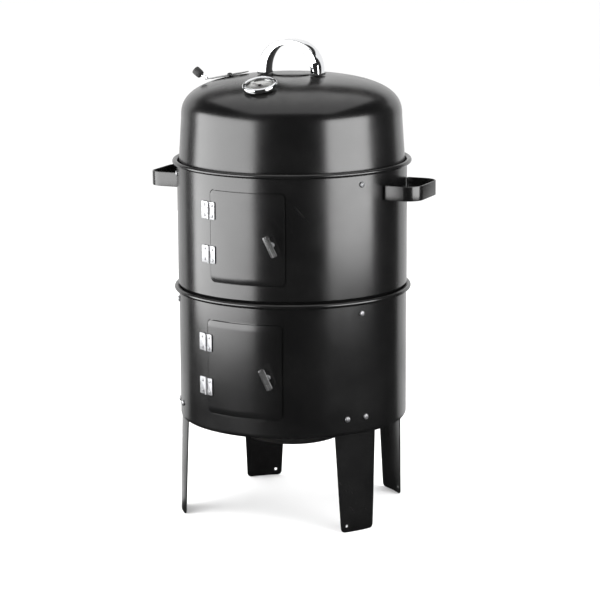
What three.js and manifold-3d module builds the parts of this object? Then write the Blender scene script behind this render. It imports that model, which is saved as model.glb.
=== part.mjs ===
// Vertical charcoal smoker with three stacked sections: a legged fire section, a smoking section
// and a domed lid. Millimetres, +Z up, the doors face -Y and the side handles lie along X.
// The origin is on the floor, under the middle of the whole smoker's outline.
import * as THREE from 'three';
import { mergeVertices } from 'three/addons/utils/BufferGeometryUtils.js';
import Module from 'manifold-3d';

const wasm = await Module();
wasm.setup();

// ---- Driving dimensions ------------------------------------------------------------------

const DEG = Math.PI / 180;
const GAP = 0.4;                  // between pieces that touch
const SHEET = 1.5;                // steel sheet
const WALL_FACETS = 40;           // round the barrels and the lid
const BOWL_FACETS = 32;
const SMALL_FACETS = 8;
const CUTTER_START = 100;         // flat outlines are projected onto a wall from here outwards
const CUTTER_DEPTH = 140;
const HOLE_REACH = 20;            // a hole's cutter, each side of the wall

// Each barrel: outer radius, bottom and top edge, its door, hinges, latch and grate brackets.
const LOWER = {
  name: 'lower', radius: 200, bottom: 170, top: 406, doorAzimuth: -2 * DEG,
  doorWidth: 141, doorHeight: 163, doorMiddle: 287, hingeHeights: [328, 251],
  latchHeight: 279, screwHeight: 382,
};
const UPPER = {
  name: 'upper', radius: 201, bottom: 392, top: 628, doorAzimuth: 0.5 * DEG,
  doorWidth: 137, doorHeight: 157, doorMiddle: 516, hingeHeights: [559, 483],
  latchHeight: 508, screwHeight: 604,
};
const BEAD_RADIUS = 4;            // rolled rim on top of each barrel
const SPIGOT_STEP = 2.4;          // the upper barrel's foot slips inside the lower rim
const SPIGOT_SHOULDER = 17;       // height of that foot
const LIP_REACH = 7;              // the lower barrel's bottom edge curls inwards

const DOOR_CORNER = 8;
const DOOR_LAP = 7;               // the door covers the doorway's edge by this much
const DOOR_STANDOFF = 0.5;
const HINGE_HEIGHT = 30;
const HINGE_AXIS_OUT = 3.2;       // hinge axis beyond the barrel's surface
const HINGE_AXIS_ASIDE = 3.4;     // hinge axis beside the door's edge
const KNUCKLE_RADIUS = 2.6;
const KNUCKLE_MIDDLE = 10;        // length of the fixed leaf's knuckle
const HINGE_PIN_RADIUS = 1.1;
const HINGE_BORE_RADIUS = 1.5;
const FIXED_LEAF_WIDTH = 18.5;
const DOOR_LEAF_WIDTH = 14.5;
const LEAF_SHEET = 1.3;

const LATCH_AZIMUTH = 13.5 * DEG; // from the door's middle
const LATCH_TILT = -65 * DEG;     // the grip's direction from level
const LATCH_HOLE = 3.7;
const SPINDLE_RADIUS = 3;
const GRIP_RADIUS = 5.5;
const GRIP_LENGTH = 38;
const GRIP_STANDOFF = 20;
const TONGUE_LENGTH = 23;
const TONGUE_WIDTH = 8;
const TONGUE_DEPTH = 5.8;         // its outer face behind the barrel's surface

const BRACKET_AZIMUTHS = [60 * DEG, 180 * DEG, -60 * DEG];
const BRACKET_WIDTH = 18;
const BRACKET_ABOVE = 9.5;        // above its screw
const BRACKET_BELOW = 40;
const BRACKET_LUG = 14;           // how far a lug reaches inwards
const BRACKET_CLEARANCE = 1.1;    // between the flat strip and the round wall
const GRATE_LUG_DROP = 8;         // lug tops below the screw
const PAN_LUG_DROP = 38;
const SCREW_HEAD = 5;
const SCREW_SHANK = 2;
const SCREW_HOLE = 2.5;
const SCREW_GRIP = 8;             // shank length

const LEG_AZIMUTHS = { front_right: 57, front_left: -57, rear_left: -140, rear_right: 140 };
const LEG_TOP = 215;
const LEG_TOP_WIDTH = 88;
const LEG_FOOT_WIDTH = 65;
const LEG_SPLAY = 4;
const LEG_CORNER = 6;
const LEG_TAB = 13;               // shelf at the leg's top that carries the fire bowl
const LEG_TAB_HALF = 15;
const BOLT_HEIGHT = 200;
const BOLT_SPREAD = 5.5 * DEG;

const LID_BOTTOM = 614;
const LID_BOTTOM_RADIUS = 198.2;
const DOME_RADIUS = 192.5;
const DOME_BOTTOM = 700;
const DOME_HEIGHT = 73;
const DOME_POWER = 2.7;           // superellipse exponent of the dome's section
const BOSS_RADIUS = 34;           // flat pressed boss between the handle's feet
const BOSS_HEIGHT = 2;

const HANDLE_HALF_SPAN = 57.5;
const HANDLE_RISE = 57;
const HANDLE_FOOT_THICKNESS = 15;
const HANDLE_TOP_THICKNESS = 7.5;
const HANDLE_WIDTH = 29;
const HANDLE_SHELL = 2.6;
const HANDLE_PAD = 3.2;

const GAUGE_RADIUS = 30;          // thermometer
const GAUGE_PLACE = 130;          // from the smoker's axis
const GAUGE_TILT = 17.5 * DEG;
const GAUGE_LIFT = 1.8;
const GAUGE_STEM = 3;

const DAMPER_PLACE = 118;
const DAMPER_TILT = 11.3 * DEG;
const DAMPER_RADIUS = 34;
const VENT_CIRCLE = 21;
const VENT_RADIUS = 7;
const VENT_ANGLES = [60 * DEG, 180 * DEG, 300 * DEG];
const RIVET_HOLE = 2.6;
const ARM_REACH = 48;
const ARM_WIDTH = 9;
const KNOB_RADIUS = 7.5;
const KNOB_LENGTH = 16;
const KNOB_TILT = 50 * DEG;

const SIDE_HANDLE_HEIGHT = 584;
const SIDE_HANDLE_TALL = 25;
const SIDE_HANDLE_HALF = 55;
const SIDE_HANDLE_REACH = 55;
const SIDE_HANDLE_BEND = 27;
const SIDE_HANDLE_SHEET = 2.5;

const GRATE_RADIUS = 188;
const GRATE_BAR = 4;
const GRATE_PITCH = 38;
const COAL_GRATE_RADIUS = 150;
const COAL_GRATE_HEIGHT = 186;
const BOWL_RIM = 190;
const BOWL_MOUTH = 182;
const PAN_RIM = 187;
const PAN_MOUTH = 178;
const PAN_DEPTH = 60;

// ---- Materials ---------------------------------------------------------------------------

const finish = (color, roughness, metalness) =>
  new THREE.MeshStandardMaterial({ color, roughness, metalness });
const MATERIALS = {
  paint: finish(0x151515, 0.38, 0.3),
  insidePaint: finish(0x1a1a1a, 0.6, 0.3),
  zinc: finish(0xc8c8c4, 0.35, 0.9),
  chrome: finish(0xd8d8d8, 0.12, 1),
  plastic: finish(0x1c1c1c, 0.55, 0),
  dial: finish(0xcfcfca, 0.4, 0.6),
  needle: finish(0x222222, 0.5, 0.2),
  glass: finish(0xf2f6f6, 0.05, 0),
};

// ---- Solids ------------------------------------------------------------------------------

/** Vertices merged and flat slivers dropped, so that the surface is closed. */
function weld(geometry) {
  const bare = geometry.clone();
  bare.deleteAttribute('normal');
  bare.deleteAttribute('uv');
  const merged = mergeVertices(bare);
  const index = merged.getIndex().array;
  const kept = [];
  for (let i = 0; i < index.length; i += 3) {
    const [a, b, c] = [index[i], index[i + 1], index[i + 2]];
    if (a !== b && b !== c && a !== c) kept.push(a, b, c);
  }
  merged.setIndex(kept);
  return merged;
}

/** A closed geometry as a solid that can be joined and cut. */
function solid(geometry) {
  const welded = weld(geometry);
  return new wasm.Manifold(new wasm.Mesh({
    numProp: 3,
    vertProperties: new Float32Array(welded.getAttribute('position').array),
    triVerts: new Uint32Array(welded.getIndex().array),
  }));
}

/** A solid back as a geometry. */
function shell(body) {
  const mesh = body.getMesh();
  const geometry = new THREE.BufferGeometry();
  geometry.setAttribute('position', new THREE.BufferAttribute(mesh.vertProperties, 3));
  geometry.setIndex(new THREE.BufferAttribute(mesh.triVerts, 1));
  geometry.computeVertexNormals();
  return geometry;
}

const join = (...parts) => shell(parts.map(solid).reduce((sum, part) => sum.add(part)));
const cut = (part, ...tools) => shell(tools.map(solid).reduce((left, tool) => left.subtract(tool), solid(part)));
const common = (one, other) => shell(solid(one).intersect(solid(other)));

/** A ring or bowl turned round the Z axis from a profile of [radius, height] points, outer side upwards. */
function turned(profile, facets) {
  const points = profile.map(([radius, height]) => new THREE.Vector2(radius, height));
  return weld(new THREE.LatheGeometry(points, facets).rotateX(Math.PI / 2));
}

/** The same for a profile that closes on itself away from the axis. */
const turnedRing = (profile, facets) => turned([...profile, profile[0]], facets);

/** An upright cylinder from one height to another. */
function rod(radius, low, high, facets = SMALL_FACETS) {
  const geometry = new THREE.CylinderGeometry(radius, radius, high - low, facets);
  return geometry.rotateX(Math.PI / 2).translate(0, 0, (low + high) / 2);
}

/** A box from its low corner to its high corner. */
function block(low, high) {
  const size = high.map((value, axis) => value - low[axis]);
  const middle = high.map((value, axis) => (value + low[axis]) / 2);
  return new THREE.BoxGeometry(...size).translate(...middle);
}

/** A rectangle with round corners about the origin. */
function roundedRectangle(width, height, corner) {
  const [x, y] = [width / 2, height / 2];
  const shape = new THREE.Shape();
  shape.absarc(x - corner, y - corner, corner, 0, Math.PI / 2);
  shape.absarc(corner - x, y - corner, corner, Math.PI / 2, Math.PI);
  shape.absarc(corner - x, corner - y, corner, Math.PI, 1.5 * Math.PI);
  shape.absarc(x - corner, corner - y, corner, 1.5 * Math.PI, 2 * Math.PI);
  return shape;
}

/** A flat shape made thick along +Z. */
const extruded = (shape, depth, curveSegments = 3) => weld(
  new THREE.ExtrudeGeometry(shape, { depth, bevelEnabled: false, curveSegments }));

// ---- Places ------------------------------------------------------------------------------

/** Matrix of a seat on a round wall: X to the right, Y up and Z outwards, seen from outside. */
function wallSeat(azimuth, radius, height) {
  return new THREE.Matrix4().makeRotationZ(azimuth)
    .multiply(new THREE.Matrix4().makeTranslation(0, -radius, height))
    .multiply(new THREE.Matrix4().makeRotationX(Math.PI / 2));
}

/** Matrix of a seat on the dome: Z along its normal, -Y down the slope. */
function domeSeat(azimuth, place, tilt, lift) {
  return new THREE.Matrix4().makeRotationZ(azimuth)
    .multiply(new THREE.Matrix4().makeTranslation(0, -place, domeHeight(place)))
    .multiply(new THREE.Matrix4().makeRotationX(tilt))
    .multiply(new THREE.Matrix4().makeTranslation(0, 0, lift));
}

/** A group standing at a seat. */
function seated(matrix, ...children) {
  const group = new THREE.Group();
  group.applyMatrix4(matrix);
  group.add(...children);
  return group;
}

const smoker = new THREE.Group();

function piece(name, geometry, material) {
  geometry.computeVertexNormals();
  const mesh = new THREE.Mesh(geometry, material);
  mesh.name = name;
  return mesh;
}

// ---- Barrels -----------------------------------------------------------------------------

/** The rolled rim, from its foot on the outer wall round to the inner wall. */
function beadPoints({ radius, top }) {
  const middle = [radius + BEAD_RADIUS, top - BEAD_RADIUS];
  const angles = [-90, -45, 0, 45, 90].map((angle) => angle * DEG);
  const bead = angles.map((angle) => [
    middle[0] + BEAD_RADIUS * Math.cos(angle), middle[1] + BEAD_RADIUS * Math.sin(angle)]);
  return [[radius, top - 2 * BEAD_RADIUS], ...bead, [radius - SHEET, top - BEAD_RADIUS / 2]];
}

function lowerBarrelProfile() {
  const { radius, bottom } = LOWER;
  const inside = radius - SHEET;
  return [
    [radius - LIP_REACH, bottom], [radius - 2, bottom + 2], [radius, bottom + LIP_REACH],
    ...beadPoints(LOWER),
    [inside, bottom + LIP_REACH], [inside - 2, bottom + 2 + SHEET], [radius - LIP_REACH, bottom + SHEET],
  ];
}

function upperBarrelProfile() {
  const { radius, bottom } = UPPER;
  const foot = LOWER.radius - SPIGOT_STEP;
  const shoulder = bottom + SPIGOT_SHOULDER;
  return [
    [foot, bottom], [foot, shoulder], [radius, shoulder + 1],
    ...beadPoints(UPPER),
    [radius - SHEET, shoulder + 1 + SHEET], [foot - SHEET, shoulder + SHEET], [foot - SHEET, bottom],
  ];
}

const holeInWall = (azimuth, radius, height, size) =>
  rod(size, -HOLE_REACH, HOLE_REACH).applyMatrix4(wallSeat(azimuth, radius, height));

function doorway({ doorAzimuth, doorWidth, doorHeight, doorMiddle }, margin) {
  const outline = roundedRectangle(doorWidth - 2 * margin, doorHeight - 2 * margin, DOOR_CORNER - margin / 2);
  return extruded(outline, CUTTER_DEPTH).applyMatrix4(wallSeat(doorAzimuth, CUTTER_START, doorMiddle));
}

function barrel(section, profile, extraHoles) {
  const holes = BRACKET_AZIMUTHS.map((azimuth) =>
    holeInWall(azimuth, section.radius, section.screwHeight, SCREW_HOLE));
  const wall = cut(turnedRing(profile, WALL_FACETS), doorway(section, DOOR_LAP), ...holes, ...extraHoles);
  return piece(`${section.name}_barrel`, wall, MATERIALS.paint);
}

// ---- Screws and brackets -----------------------------------------------------------------

/** A pan-head screw along Z, its head's underside at zero and its shank pointing down. */
function screw(grip) {
  return turned([
    [0, -grip], [SCREW_SHANK, -grip], [SCREW_SHANK, 0], [SCREW_HEAD, 0],
    [SCREW_HEAD, 1.2], [SCREW_HEAD * 0.6, 3], [0, 3],
  ], SMALL_FACETS);
}

const screwInWall = (name, azimuth, radius, height) =>
  seated(wallSeat(azimuth, radius + GAP, height), piece(name, screw(SCREW_GRIP), MATERIALS.zinc));

/** A strip against the inner wall with one lug for a grate and one for the water pan. */
function bracket() {
  const half = BRACKET_WIDTH / 2;
  const lug = (drop) => block([-half, -drop - SHEET, -BRACKET_LUG], [half, -drop, SHEET]);
  const strip = block([-half, -BRACKET_BELOW, 0], [half, BRACKET_ABOVE, SHEET]);
  return cut(join(strip, lug(GRATE_LUG_DROP), lug(PAN_LUG_DROP)), rod(SCREW_HOLE, -5, 5));
}

function brackets({ name, radius, screwHeight }) {
  const inner = radius - 2 * SHEET - BRACKET_CLEARANCE;
  return BRACKET_AZIMUTHS.flatMap((azimuth, i) => [
    seated(wallSeat(azimuth, inner, screwHeight),
      piece(`${name}_bracket_${i + 1}`, bracket(), MATERIALS.zinc)),
    screwInWall(`${name}_bracket_screw_${i + 1}`, azimuth, radius, screwHeight),
  ]);
}

// ---- Legs --------------------------------------------------------------------------------

const LEG_RADIUS = LOWER.radius - SHEET - GAP;

/** Cutters for a leg's two bolt holes. */
function legBoltHoles(azimuth) {
  return [-1, 1].map((side) =>
    holeInWall(azimuth + side * BOLT_SPREAD, LOWER.radius, BOLT_HEIGHT, SCREW_HOLE));
}

/** A rolled sheet leg, wide at the top, splayed outwards to its foot, with a shelf for the bowl. */
function leg(azimuth) {
  const sheet = turnedRing([
    [LEG_RADIUS + LEG_SPLAY - SHEET, 0], [LEG_RADIUS + LEG_SPLAY, 0], [LEG_RADIUS, LOWER.bottom],
    [LEG_RADIUS, LEG_TOP], [LEG_RADIUS - SHEET, LEG_TOP], [LEG_RADIUS - SHEET, LOWER.bottom],
  ], WALL_FACETS);
  const bolts = legBoltHoles(azimuth);
  const outline = extruded(legOutline(), CUTTER_DEPTH).applyMatrix4(wallSeat(azimuth, CUTTER_START, 0));
  const shelf = block([-LEG_TAB_HALF, LEG_TOP - SHEET, -LEG_TAB], [LEG_TAB_HALF, LEG_TOP, -SHEET / 2])
    .applyMatrix4(wallSeat(azimuth, LEG_RADIUS - 1, 0));
  return join(cut(common(sheet, outline), ...bolts), shelf);
}

function legOutline() {
  const [foot, top, corner] = [LEG_FOOT_WIDTH / 2, LEG_TOP_WIDTH / 2, LEG_CORNER];
  const shape = new THREE.Shape();
  shape.moveTo(-top, LEG_TOP);
  shape.lineTo(-foot, corner);
  shape.lineTo(corner - foot, 0);
  shape.lineTo(foot - corner, 0);
  shape.lineTo(foot, corner);
  shape.lineTo(top, LEG_TOP);
  return shape;
}

/** Where the legs pass the curled bottom edge. */
function legNotch(azimuth) {
  const half = LEG_TOP_WIDTH / 2 - 1;
  return block([-half, -5, -LIP_REACH - 2], [half, LIP_REACH, -0.6])
    .applyMatrix4(wallSeat(azimuth, LOWER.radius, LOWER.bottom));
}

function legs() {
  return Object.entries(LEG_AZIMUTHS).flatMap(([name, degrees]) => [
    piece(`leg_${name}`, leg(degrees * DEG), MATERIALS.paint),
    ...[-1, 1].map((side, i) => screwInWall(
      `leg_bolt_${name}_${i + 1}`, degrees * DEG + side * BOLT_SPREAD, LOWER.radius, BOLT_HEIGHT)),
  ]);
}

// ---- Doors, hinges and latches -----------------------------------------------------------

/** A rolled panel over the doorway, with a hole for the latch spindle. */
function door(section) {
  const { name, radius, doorAzimuth, latchHeight } = section;
  const inside = radius + DOOR_STANDOFF;
  const bottom = section.doorMiddle - section.doorHeight;
  const top = section.doorMiddle + section.doorHeight;
  const skin = turnedRing([
    [inside, bottom], [inside + SHEET, bottom], [inside + SHEET, top], [inside, top],
  ], WALL_FACETS);
  const hole = holeInWall(doorAzimuth + LATCH_AZIMUTH, radius, latchHeight, LATCH_HOLE);
  return piece(`${name}_door`, cut(common(skin, doorway(section, 0)), hole), MATERIALS.paint);
}

/** Azimuth of the hinge axis, just beside the door's left edge. */
function hingeAzimuth({ radius, doorAzimuth, doorWidth }) {
  const skin = radius + DOOR_STANDOFF + SHEET;
  return doorAzimuth - Math.asin(doorWidth / 2 / skin) - HINGE_AXIS_ASIDE / skin;
}

/** An upright tube or rod round the hinge axis, between two heights. */
const onHinge = (radius, low, high) => rod(radius, low, high, 10)
  .rotateX(-Math.PI / 2).translate(0, 0, HINGE_AXIS_OUT);

function fixedLeaf() {
  const half = HINGE_HEIGHT / 2;
  const middle = KNUCKLE_MIDDLE / 2;
  const plate = block([-FIXED_LEAF_WIDTH, -half, 0.5], [-KNUCKLE_RADIUS - 0.8, half, 0.5 + LEAF_SHEET]);
  const neck = block([-KNUCKLE_RADIUS - 1, -middle, 0.8], [-0.5, middle, 0.5 + LEAF_SHEET]);
  return join(plate, neck, onHinge(KNUCKLE_RADIUS, -middle, middle), onHinge(HINGE_PIN_RADIUS, -half, half));
}

function doorLeaf() {
  const half = HINGE_HEIGHT / 2;
  const middle = KNUCKLE_MIDDLE / 2 + GAP;
  const face = DOOR_STANDOFF + SHEET + GAP;
  const plate = block([KNUCKLE_RADIUS + 0.8, -half, face], [DOOR_LEAF_WIDTH, half, face + LEAF_SHEET]);
  const necks = [[-half, -middle], [middle, half]].map(([low, high]) => join(
    block([0.5, low, face], [KNUCKLE_RADIUS + 1, high, face + LEAF_SHEET]),
    onHinge(KNUCKLE_RADIUS, low, high),
  ));
  return cut(join(plate, ...necks), onHinge(HINGE_BORE_RADIUS, -half - 1, half + 1));
}

function hinges(section) {
  return section.hingeHeights.flatMap((height, i) => [
    seated(wallSeat(hingeAzimuth(section), section.radius, height),
      piece(`${section.name}_hinge_fixed_leaf_${i + 1}`, fixedLeaf(), MATERIALS.zinc),
      piece(`${section.name}_hinge_door_leaf_${i + 1}`, doorLeaf(), MATERIALS.zinc)),
  ]);
}

/** The grip lies across its spindle, and the tongue behind the door points the same way. */
function latch({ name, radius, doorAzimuth, latchHeight }) {
  const seat = wallSeat(doorAzimuth + LATCH_AZIMUTH, radius, latchHeight)
    .multiply(new THREE.Matrix4().makeRotationZ(LATCH_TILT));
  const grip = rod(GRIP_RADIUS, -GRIP_LENGTH / 2, GRIP_LENGTH / 2, 12)
    .rotateY(Math.PI / 2).translate(0, 0, GRIP_STANDOFF);
  const tongue = block([-SPINDLE_RADIUS - 2, -TONGUE_WIDTH / 2, -TONGUE_DEPTH - SHEET],
    [TONGUE_LENGTH, TONGUE_WIDTH / 2, -TONGUE_DEPTH]);
  const collar = DOOR_STANDOFF + SHEET + GAP;
  const spindle = join(tongue,
    rod(SPINDLE_RADIUS, -TONGUE_DEPTH - SHEET - 1.5, GRIP_STANDOFF - GRIP_RADIUS - GAP),
    rod(SPINDLE_RADIUS + 2, collar, collar + 1.5));
  return seated(seat,
    piece(`${name}_latch_grip`, grip, MATERIALS.plastic),
    piece(`${name}_latch_spindle`, spindle, MATERIALS.zinc));
}

// ---- Side handles ------------------------------------------------------------------------

/** Plan outline of one strap: tabs on the barrel, two arms and a rounded bow. */
function sideHandleOutline() {
  const [half, reach, bend] = [SIDE_HANDLE_HALF, SIDE_HANDLE_REACH, SIDE_HANDLE_BEND];
  const sink = UPPER.radius - Math.sqrt(UPPER.radius ** 2 - half ** 2) - GAP;
  const shape = new THREE.Shape();
  shape.moveTo(-half, -sink);
  shape.lineTo(-half, reach - bend);
  shape.absarc(bend - half, reach - bend, bend, Math.PI, Math.PI / 2, true);
  shape.absarc(half - bend, reach - bend, bend, Math.PI / 2, 0, true);
  shape.lineTo(half, -sink);
  shape.lineTo(half - 12, 4 - sink);
  const sheet = SIDE_HANDLE_SHEET;
  shape.lineTo(half - 12, 4 - sink + sheet);
  shape.lineTo(half - sheet, sheet - sink);
  shape.absarc(half - bend, reach - bend, bend - sheet, 0, Math.PI / 2);
  shape.absarc(bend - half, reach - bend, bend - sheet, Math.PI / 2, Math.PI);
  shape.lineTo(sheet - half, sheet - sink);
  shape.lineTo(12 - half, 4 - sink + sheet);
  shape.lineTo(12 - half, 4 - sink);
  return shape;
}

function sideHandles() {
  const strap = extruded(sideHandleOutline(), SIDE_HANDLE_TALL, 5)
    .rotateX(Math.PI / 2).translate(0, SIDE_HANDLE_TALL / 2, 0);
  return [['left', -90], ['right', 90]].map(([side, degrees]) =>
    seated(wallSeat(degrees * DEG, UPPER.radius, SIDE_HANDLE_HEIGHT),
      piece(`side_handle_${side}`, strap.clone(), MATERIALS.paint)));
}

// ---- Lid ---------------------------------------------------------------------------------

/** Height of the dome's outer surface at a distance from the axis. */
function domeHeight(radius) {
  const share = Math.min(radius / DOME_RADIUS, 1) ** DOME_POWER;
  return DOME_BOTTOM + DOME_HEIGHT * (1 - share) ** (1 / DOME_POWER);
}

/** Dome points from its wall to the boss, close together where it bends most. */
function domePoints(inset) {
  const turns = [0, 14, 28, 40, 50, 60, 72].map((angle) => angle * DEG);
  return turns.map((angle) => {
    const share = 2 / DOME_POWER;
    const radius = (DOME_RADIUS - inset) * Math.cos(angle) ** share;
    return [radius, DOME_BOTTOM + (DOME_HEIGHT - inset) * Math.sin(angle) ** share];
  });
}

function lid() {
  const crown = DOME_BOTTOM + DOME_HEIGHT;
  const bossTop = crown + BOSS_HEIGHT;
  const outside = [[LID_BOTTOM_RADIUS, LID_BOTTOM], ...domePoints(0),
    [BOSS_RADIUS + 2, crown - 0.3], [BOSS_RADIUS, bossTop], [0, bossTop]];
  const inside = [[0, bossTop - SHEET], [BOSS_RADIUS, crown - SHEET], ...domePoints(SHEET).reverse(),
    [LID_BOTTOM_RADIUS - SHEET, LID_BOTTOM]];
  const skin = turned([...outside, ...inside, outside[0]], WALL_FACETS);
  const gaugeHole = rod(GAUGE_STEM + 1.5, -30, 30).applyMatrix4(domeSeat(0, GAUGE_PLACE, GAUGE_TILT, 0));
  const seat = damperSeat(0);
  const vents = VENT_ANGLES.map((angle) => rod(VENT_RADIUS, -HOLE_REACH, HOLE_REACH)
    .translate(VENT_CIRCLE * Math.cos(angle), VENT_CIRCLE * Math.sin(angle), 0).applyMatrix4(seat));
  const rivetHole = rod(RIVET_HOLE, -HOLE_REACH, HOLE_REACH).applyMatrix4(seat);
  return piece('lid', cut(skin, gaugeHole, rivetHole, ...vents), MATERIALS.paint);
}

/** The handle's arch between two flattened ellipses, as a shape in X and height. */
function archOutline(outer, inner) {
  const bow = (spread, rise, angles) => angles.map((angle) => new THREE.Vector2(
    spread * Math.sign(Math.cos(angle)) * Math.abs(Math.cos(angle)) ** 0.9, rise * Math.sin(angle) ** 0.9));
  const steps = Array.from({ length: 15 }, (_, i) => (i * Math.PI) / 14);
  return new THREE.Shape([...bow(...outer, steps), ...bow(...inner, steps.slice().reverse())]);
}

const alongY = (shape, width) => extruded(shape, width).rotateX(Math.PI / 2).translate(0, width / 2, 0);

function lidHandle() {
  const base = DOME_BOTTOM + domeRiseUnderHandle() + GAP + HANDLE_PAD + GAP;
  const outer = [HANDLE_HALF_SPAN, HANDLE_RISE];
  const inner = [HANDLE_HALF_SPAN - HANDLE_FOOT_THICKNESS, HANDLE_RISE - HANDLE_TOP_THICKNESS];
  const slotOuter = outer.map((size) => size - HANDLE_SHELL);
  const coreOuter = slotOuter.map((size) => size - GAP);
  const slotWidth = HANDLE_WIDTH - 2 * HANDLE_SHELL;
  const hollow = alongY(archOutline(slotOuter, inner.map((size) => size - 2)), slotWidth);
  const housing = cut(alongY(archOutline(outer, inner), HANDLE_WIDTH), hollow);
  const insert = alongY(archOutline(coreOuter, inner.map((size) => size + 0.6)), slotWidth - 2 * GAP);
  const pads = [-1, 1].map((side) => {
    const [near, far] = [HANDLE_HALF_SPAN - HANDLE_FOOT_THICKNESS - 1, HANDLE_HALF_SPAN + 1];
    const [low, high] = side > 0 ? [near, far] : [-far, -near];
    return block([low, -HANDLE_WIDTH / 2 - 1, -HANDLE_PAD - GAP], [high, HANDLE_WIDTH / 2 + 1, -GAP]);
  });
  const studs = [-1, 1].map((side) => {
    const middle = side * (HANDLE_HALF_SPAN - HANDLE_FOOT_THICKNESS / 2 - 0.8);
    return block([middle - 4, -8, -HANDLE_PAD], [middle + 4, 8, 3]);
  });
  return seated(new THREE.Matrix4().makeTranslation(0, 0, base),
    piece('lid_handle_shell', housing, MATERIALS.chrome),
    piece('lid_handle_insert', join(insert, ...studs, ...pads), MATERIALS.plastic));
}

const domeRiseUnderHandle = () => domeHeight(HANDLE_HALF_SPAN - HANDLE_FOOT_THICKNESS - 1) - DOME_BOTTOM;

// ---- Thermometer -------------------------------------------------------------------------

function thermometer() {
  const cup = turned([
    [0, -58], [GAUGE_STEM, -58], [GAUGE_STEM, -0.4], [GAUGE_RADIUS - 4, 0], [GAUGE_RADIUS, 2],
    [GAUGE_RADIUS, 7.5], [GAUGE_RADIUS - 2, 9], [GAUGE_RADIUS - 4, 8.5], [GAUGE_RADIUS - 4, 2], [0, 2],
  ], 24);
  const face = rod(GAUGE_RADIUS - 4.5, 2.4, 3.2, 24);
  const pointer = join(block([-7, -0.8, 4], [19, 0.8, 4.8]), rod(2.4, 3.6, 5.2));
  const pane = rod(GAUGE_RADIUS - 4.5, 6.2, 7.4, 24);
  return seated(domeSeat(0, GAUGE_PLACE, GAUGE_TILT, GAUGE_LIFT),
    piece('thermometer_case', cup, MATERIALS.chrome),
    piece('thermometer_dial', face, MATERIALS.dial),
    piece('thermometer_needle', pointer.rotateZ(160 * DEG), MATERIALS.needle),
    piece('thermometer_glass', pane, MATERIALS.glass));
}

// ---- Vent damper -------------------------------------------------------------------------

const damperSeat = (lift) => domeSeat(-90 * DEG, DAMPER_PLACE, DAMPER_TILT, lift);

/** Disc with three vent holes and an arm that points down the slope. */
function damperDisc() {
  const disc = join(rod(DAMPER_RADIUS, 0, SHEET, 24),
    block([-ARM_WIDTH / 2, -ARM_REACH, 0], [ARM_WIDTH / 2, 0, SHEET]));
  const holes = VENT_ANGLES.map((angle) => rod(VENT_RADIUS, -2, 4)
    .translate(VENT_CIRCLE * Math.cos(angle), VENT_CIRCLE * Math.sin(angle), 0));
  return cut(disc, rod(RIVET_HOLE, -2, 4), ...holes);
}

/** Bent wire from the arm's end up into the knob, in the plane X = 0. */
function damperWire(knobFoot, direction) {
  const foot = new THREE.Vector3(0, 3.5 - ARM_REACH, SHEET + GAP);
  const path = new THREE.CubicBezierCurve3(
    foot,
    foot.clone().add(new THREE.Vector3(0, 0, 4)),
    knobFoot.clone().addScaledVector(direction, -4),
    knobFoot);
  const section = new THREE.Shape(Array.from({ length: 6 }, (_, i) =>
    new THREE.Vector2(1.7 * Math.cos((i * Math.PI) / 3), 1.7 * Math.sin((i * Math.PI) / 3))));
  return new THREE.ExtrudeGeometry(section, { steps: 5, extrudePath: path, bevelEnabled: false });
}

function damper() {
  const direction = new THREE.Vector3(0, -Math.cos(KNOB_TILT), Math.sin(KNOB_TILT));
  const knobFoot = new THREE.Vector3(0, -ARM_REACH - 6.5, SHEET + 7);
  const knobBase = knobFoot.clone().addScaledVector(direction, GAP);
  const knob = rod(KNOB_RADIUS, 0, KNOB_LENGTH, 12).rotateX(Math.PI / 2 - KNOB_TILT)
    .translate(...knobBase.toArray());
  const rivet = turned(
    [[0, -5], [2, -5], [2, SHEET + GAP], [4.5, SHEET + GAP], [3, 4.6], [0, 4.8]],
    SMALL_FACETS,
  );
  return seated(damperSeat(1.2),
    piece('damper_disc', damperDisc(), MATERIALS.paint),
    piece('damper_rivet', rivet, MATERIALS.plastic),
    piece('damper_wire', damperWire(knobFoot, direction), MATERIALS.chrome),
    piece('damper_knob', knob, MATERIALS.plastic));
}

// ---- Grates, water pan and fire bowl -----------------------------------------------------

/** A ring with parallel bars lying on it and one cross bar under them. */
function grate(radius) {
  const inner = radius - GRATE_BAR;
  const ring = turnedRing([[inner, 0], [radius, 0], [radius, GRATE_BAR], [inner, GRATE_BAR]], BOWL_FACETS);
  const count = Math.floor((radius - 12) / GRATE_PITCH);
  const bars = Array.from({ length: 2 * count + 1 }, (_, i) => {
    const x = (i - count) * GRATE_PITCH;
    const half = Math.sqrt(radius ** 2 - x ** 2) - 3;
    return block([x - 2, -half, GRATE_BAR - 1], [x + 2, half, 2 * GRATE_BAR - 1]);
  });
  const tie = block([-radius + 2, -2, 0], [radius - 2, 2, GRATE_BAR]);
  return join(ring, tie, ...bars);
}

function grates() {
  const laid = (name, radius, height) => seated(new THREE.Matrix4().makeTranslation(0, 0, height),
    piece(name, grate(radius), MATERIALS.chrome));
  return [
    laid('upper_cooking_grate', GRATE_RADIUS, UPPER.screwHeight - GRATE_LUG_DROP + GAP),
    laid('lower_cooking_grate', GRATE_RADIUS, LOWER.screwHeight - GRATE_LUG_DROP + GAP),
    laid('charcoal_grate', COAL_GRATE_RADIUS, COAL_GRATE_HEIGHT),
  ];
}

/** Points down a dish from its mouth to its flat bottom. */
function dishPoints(mouth, elbow, bottom) {
  const curve = new THREE.QuadraticBezierCurve(mouth, elbow, bottom);
  return curve.getPoints(5).map((point) => [point.x, point.y]);
}

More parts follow.
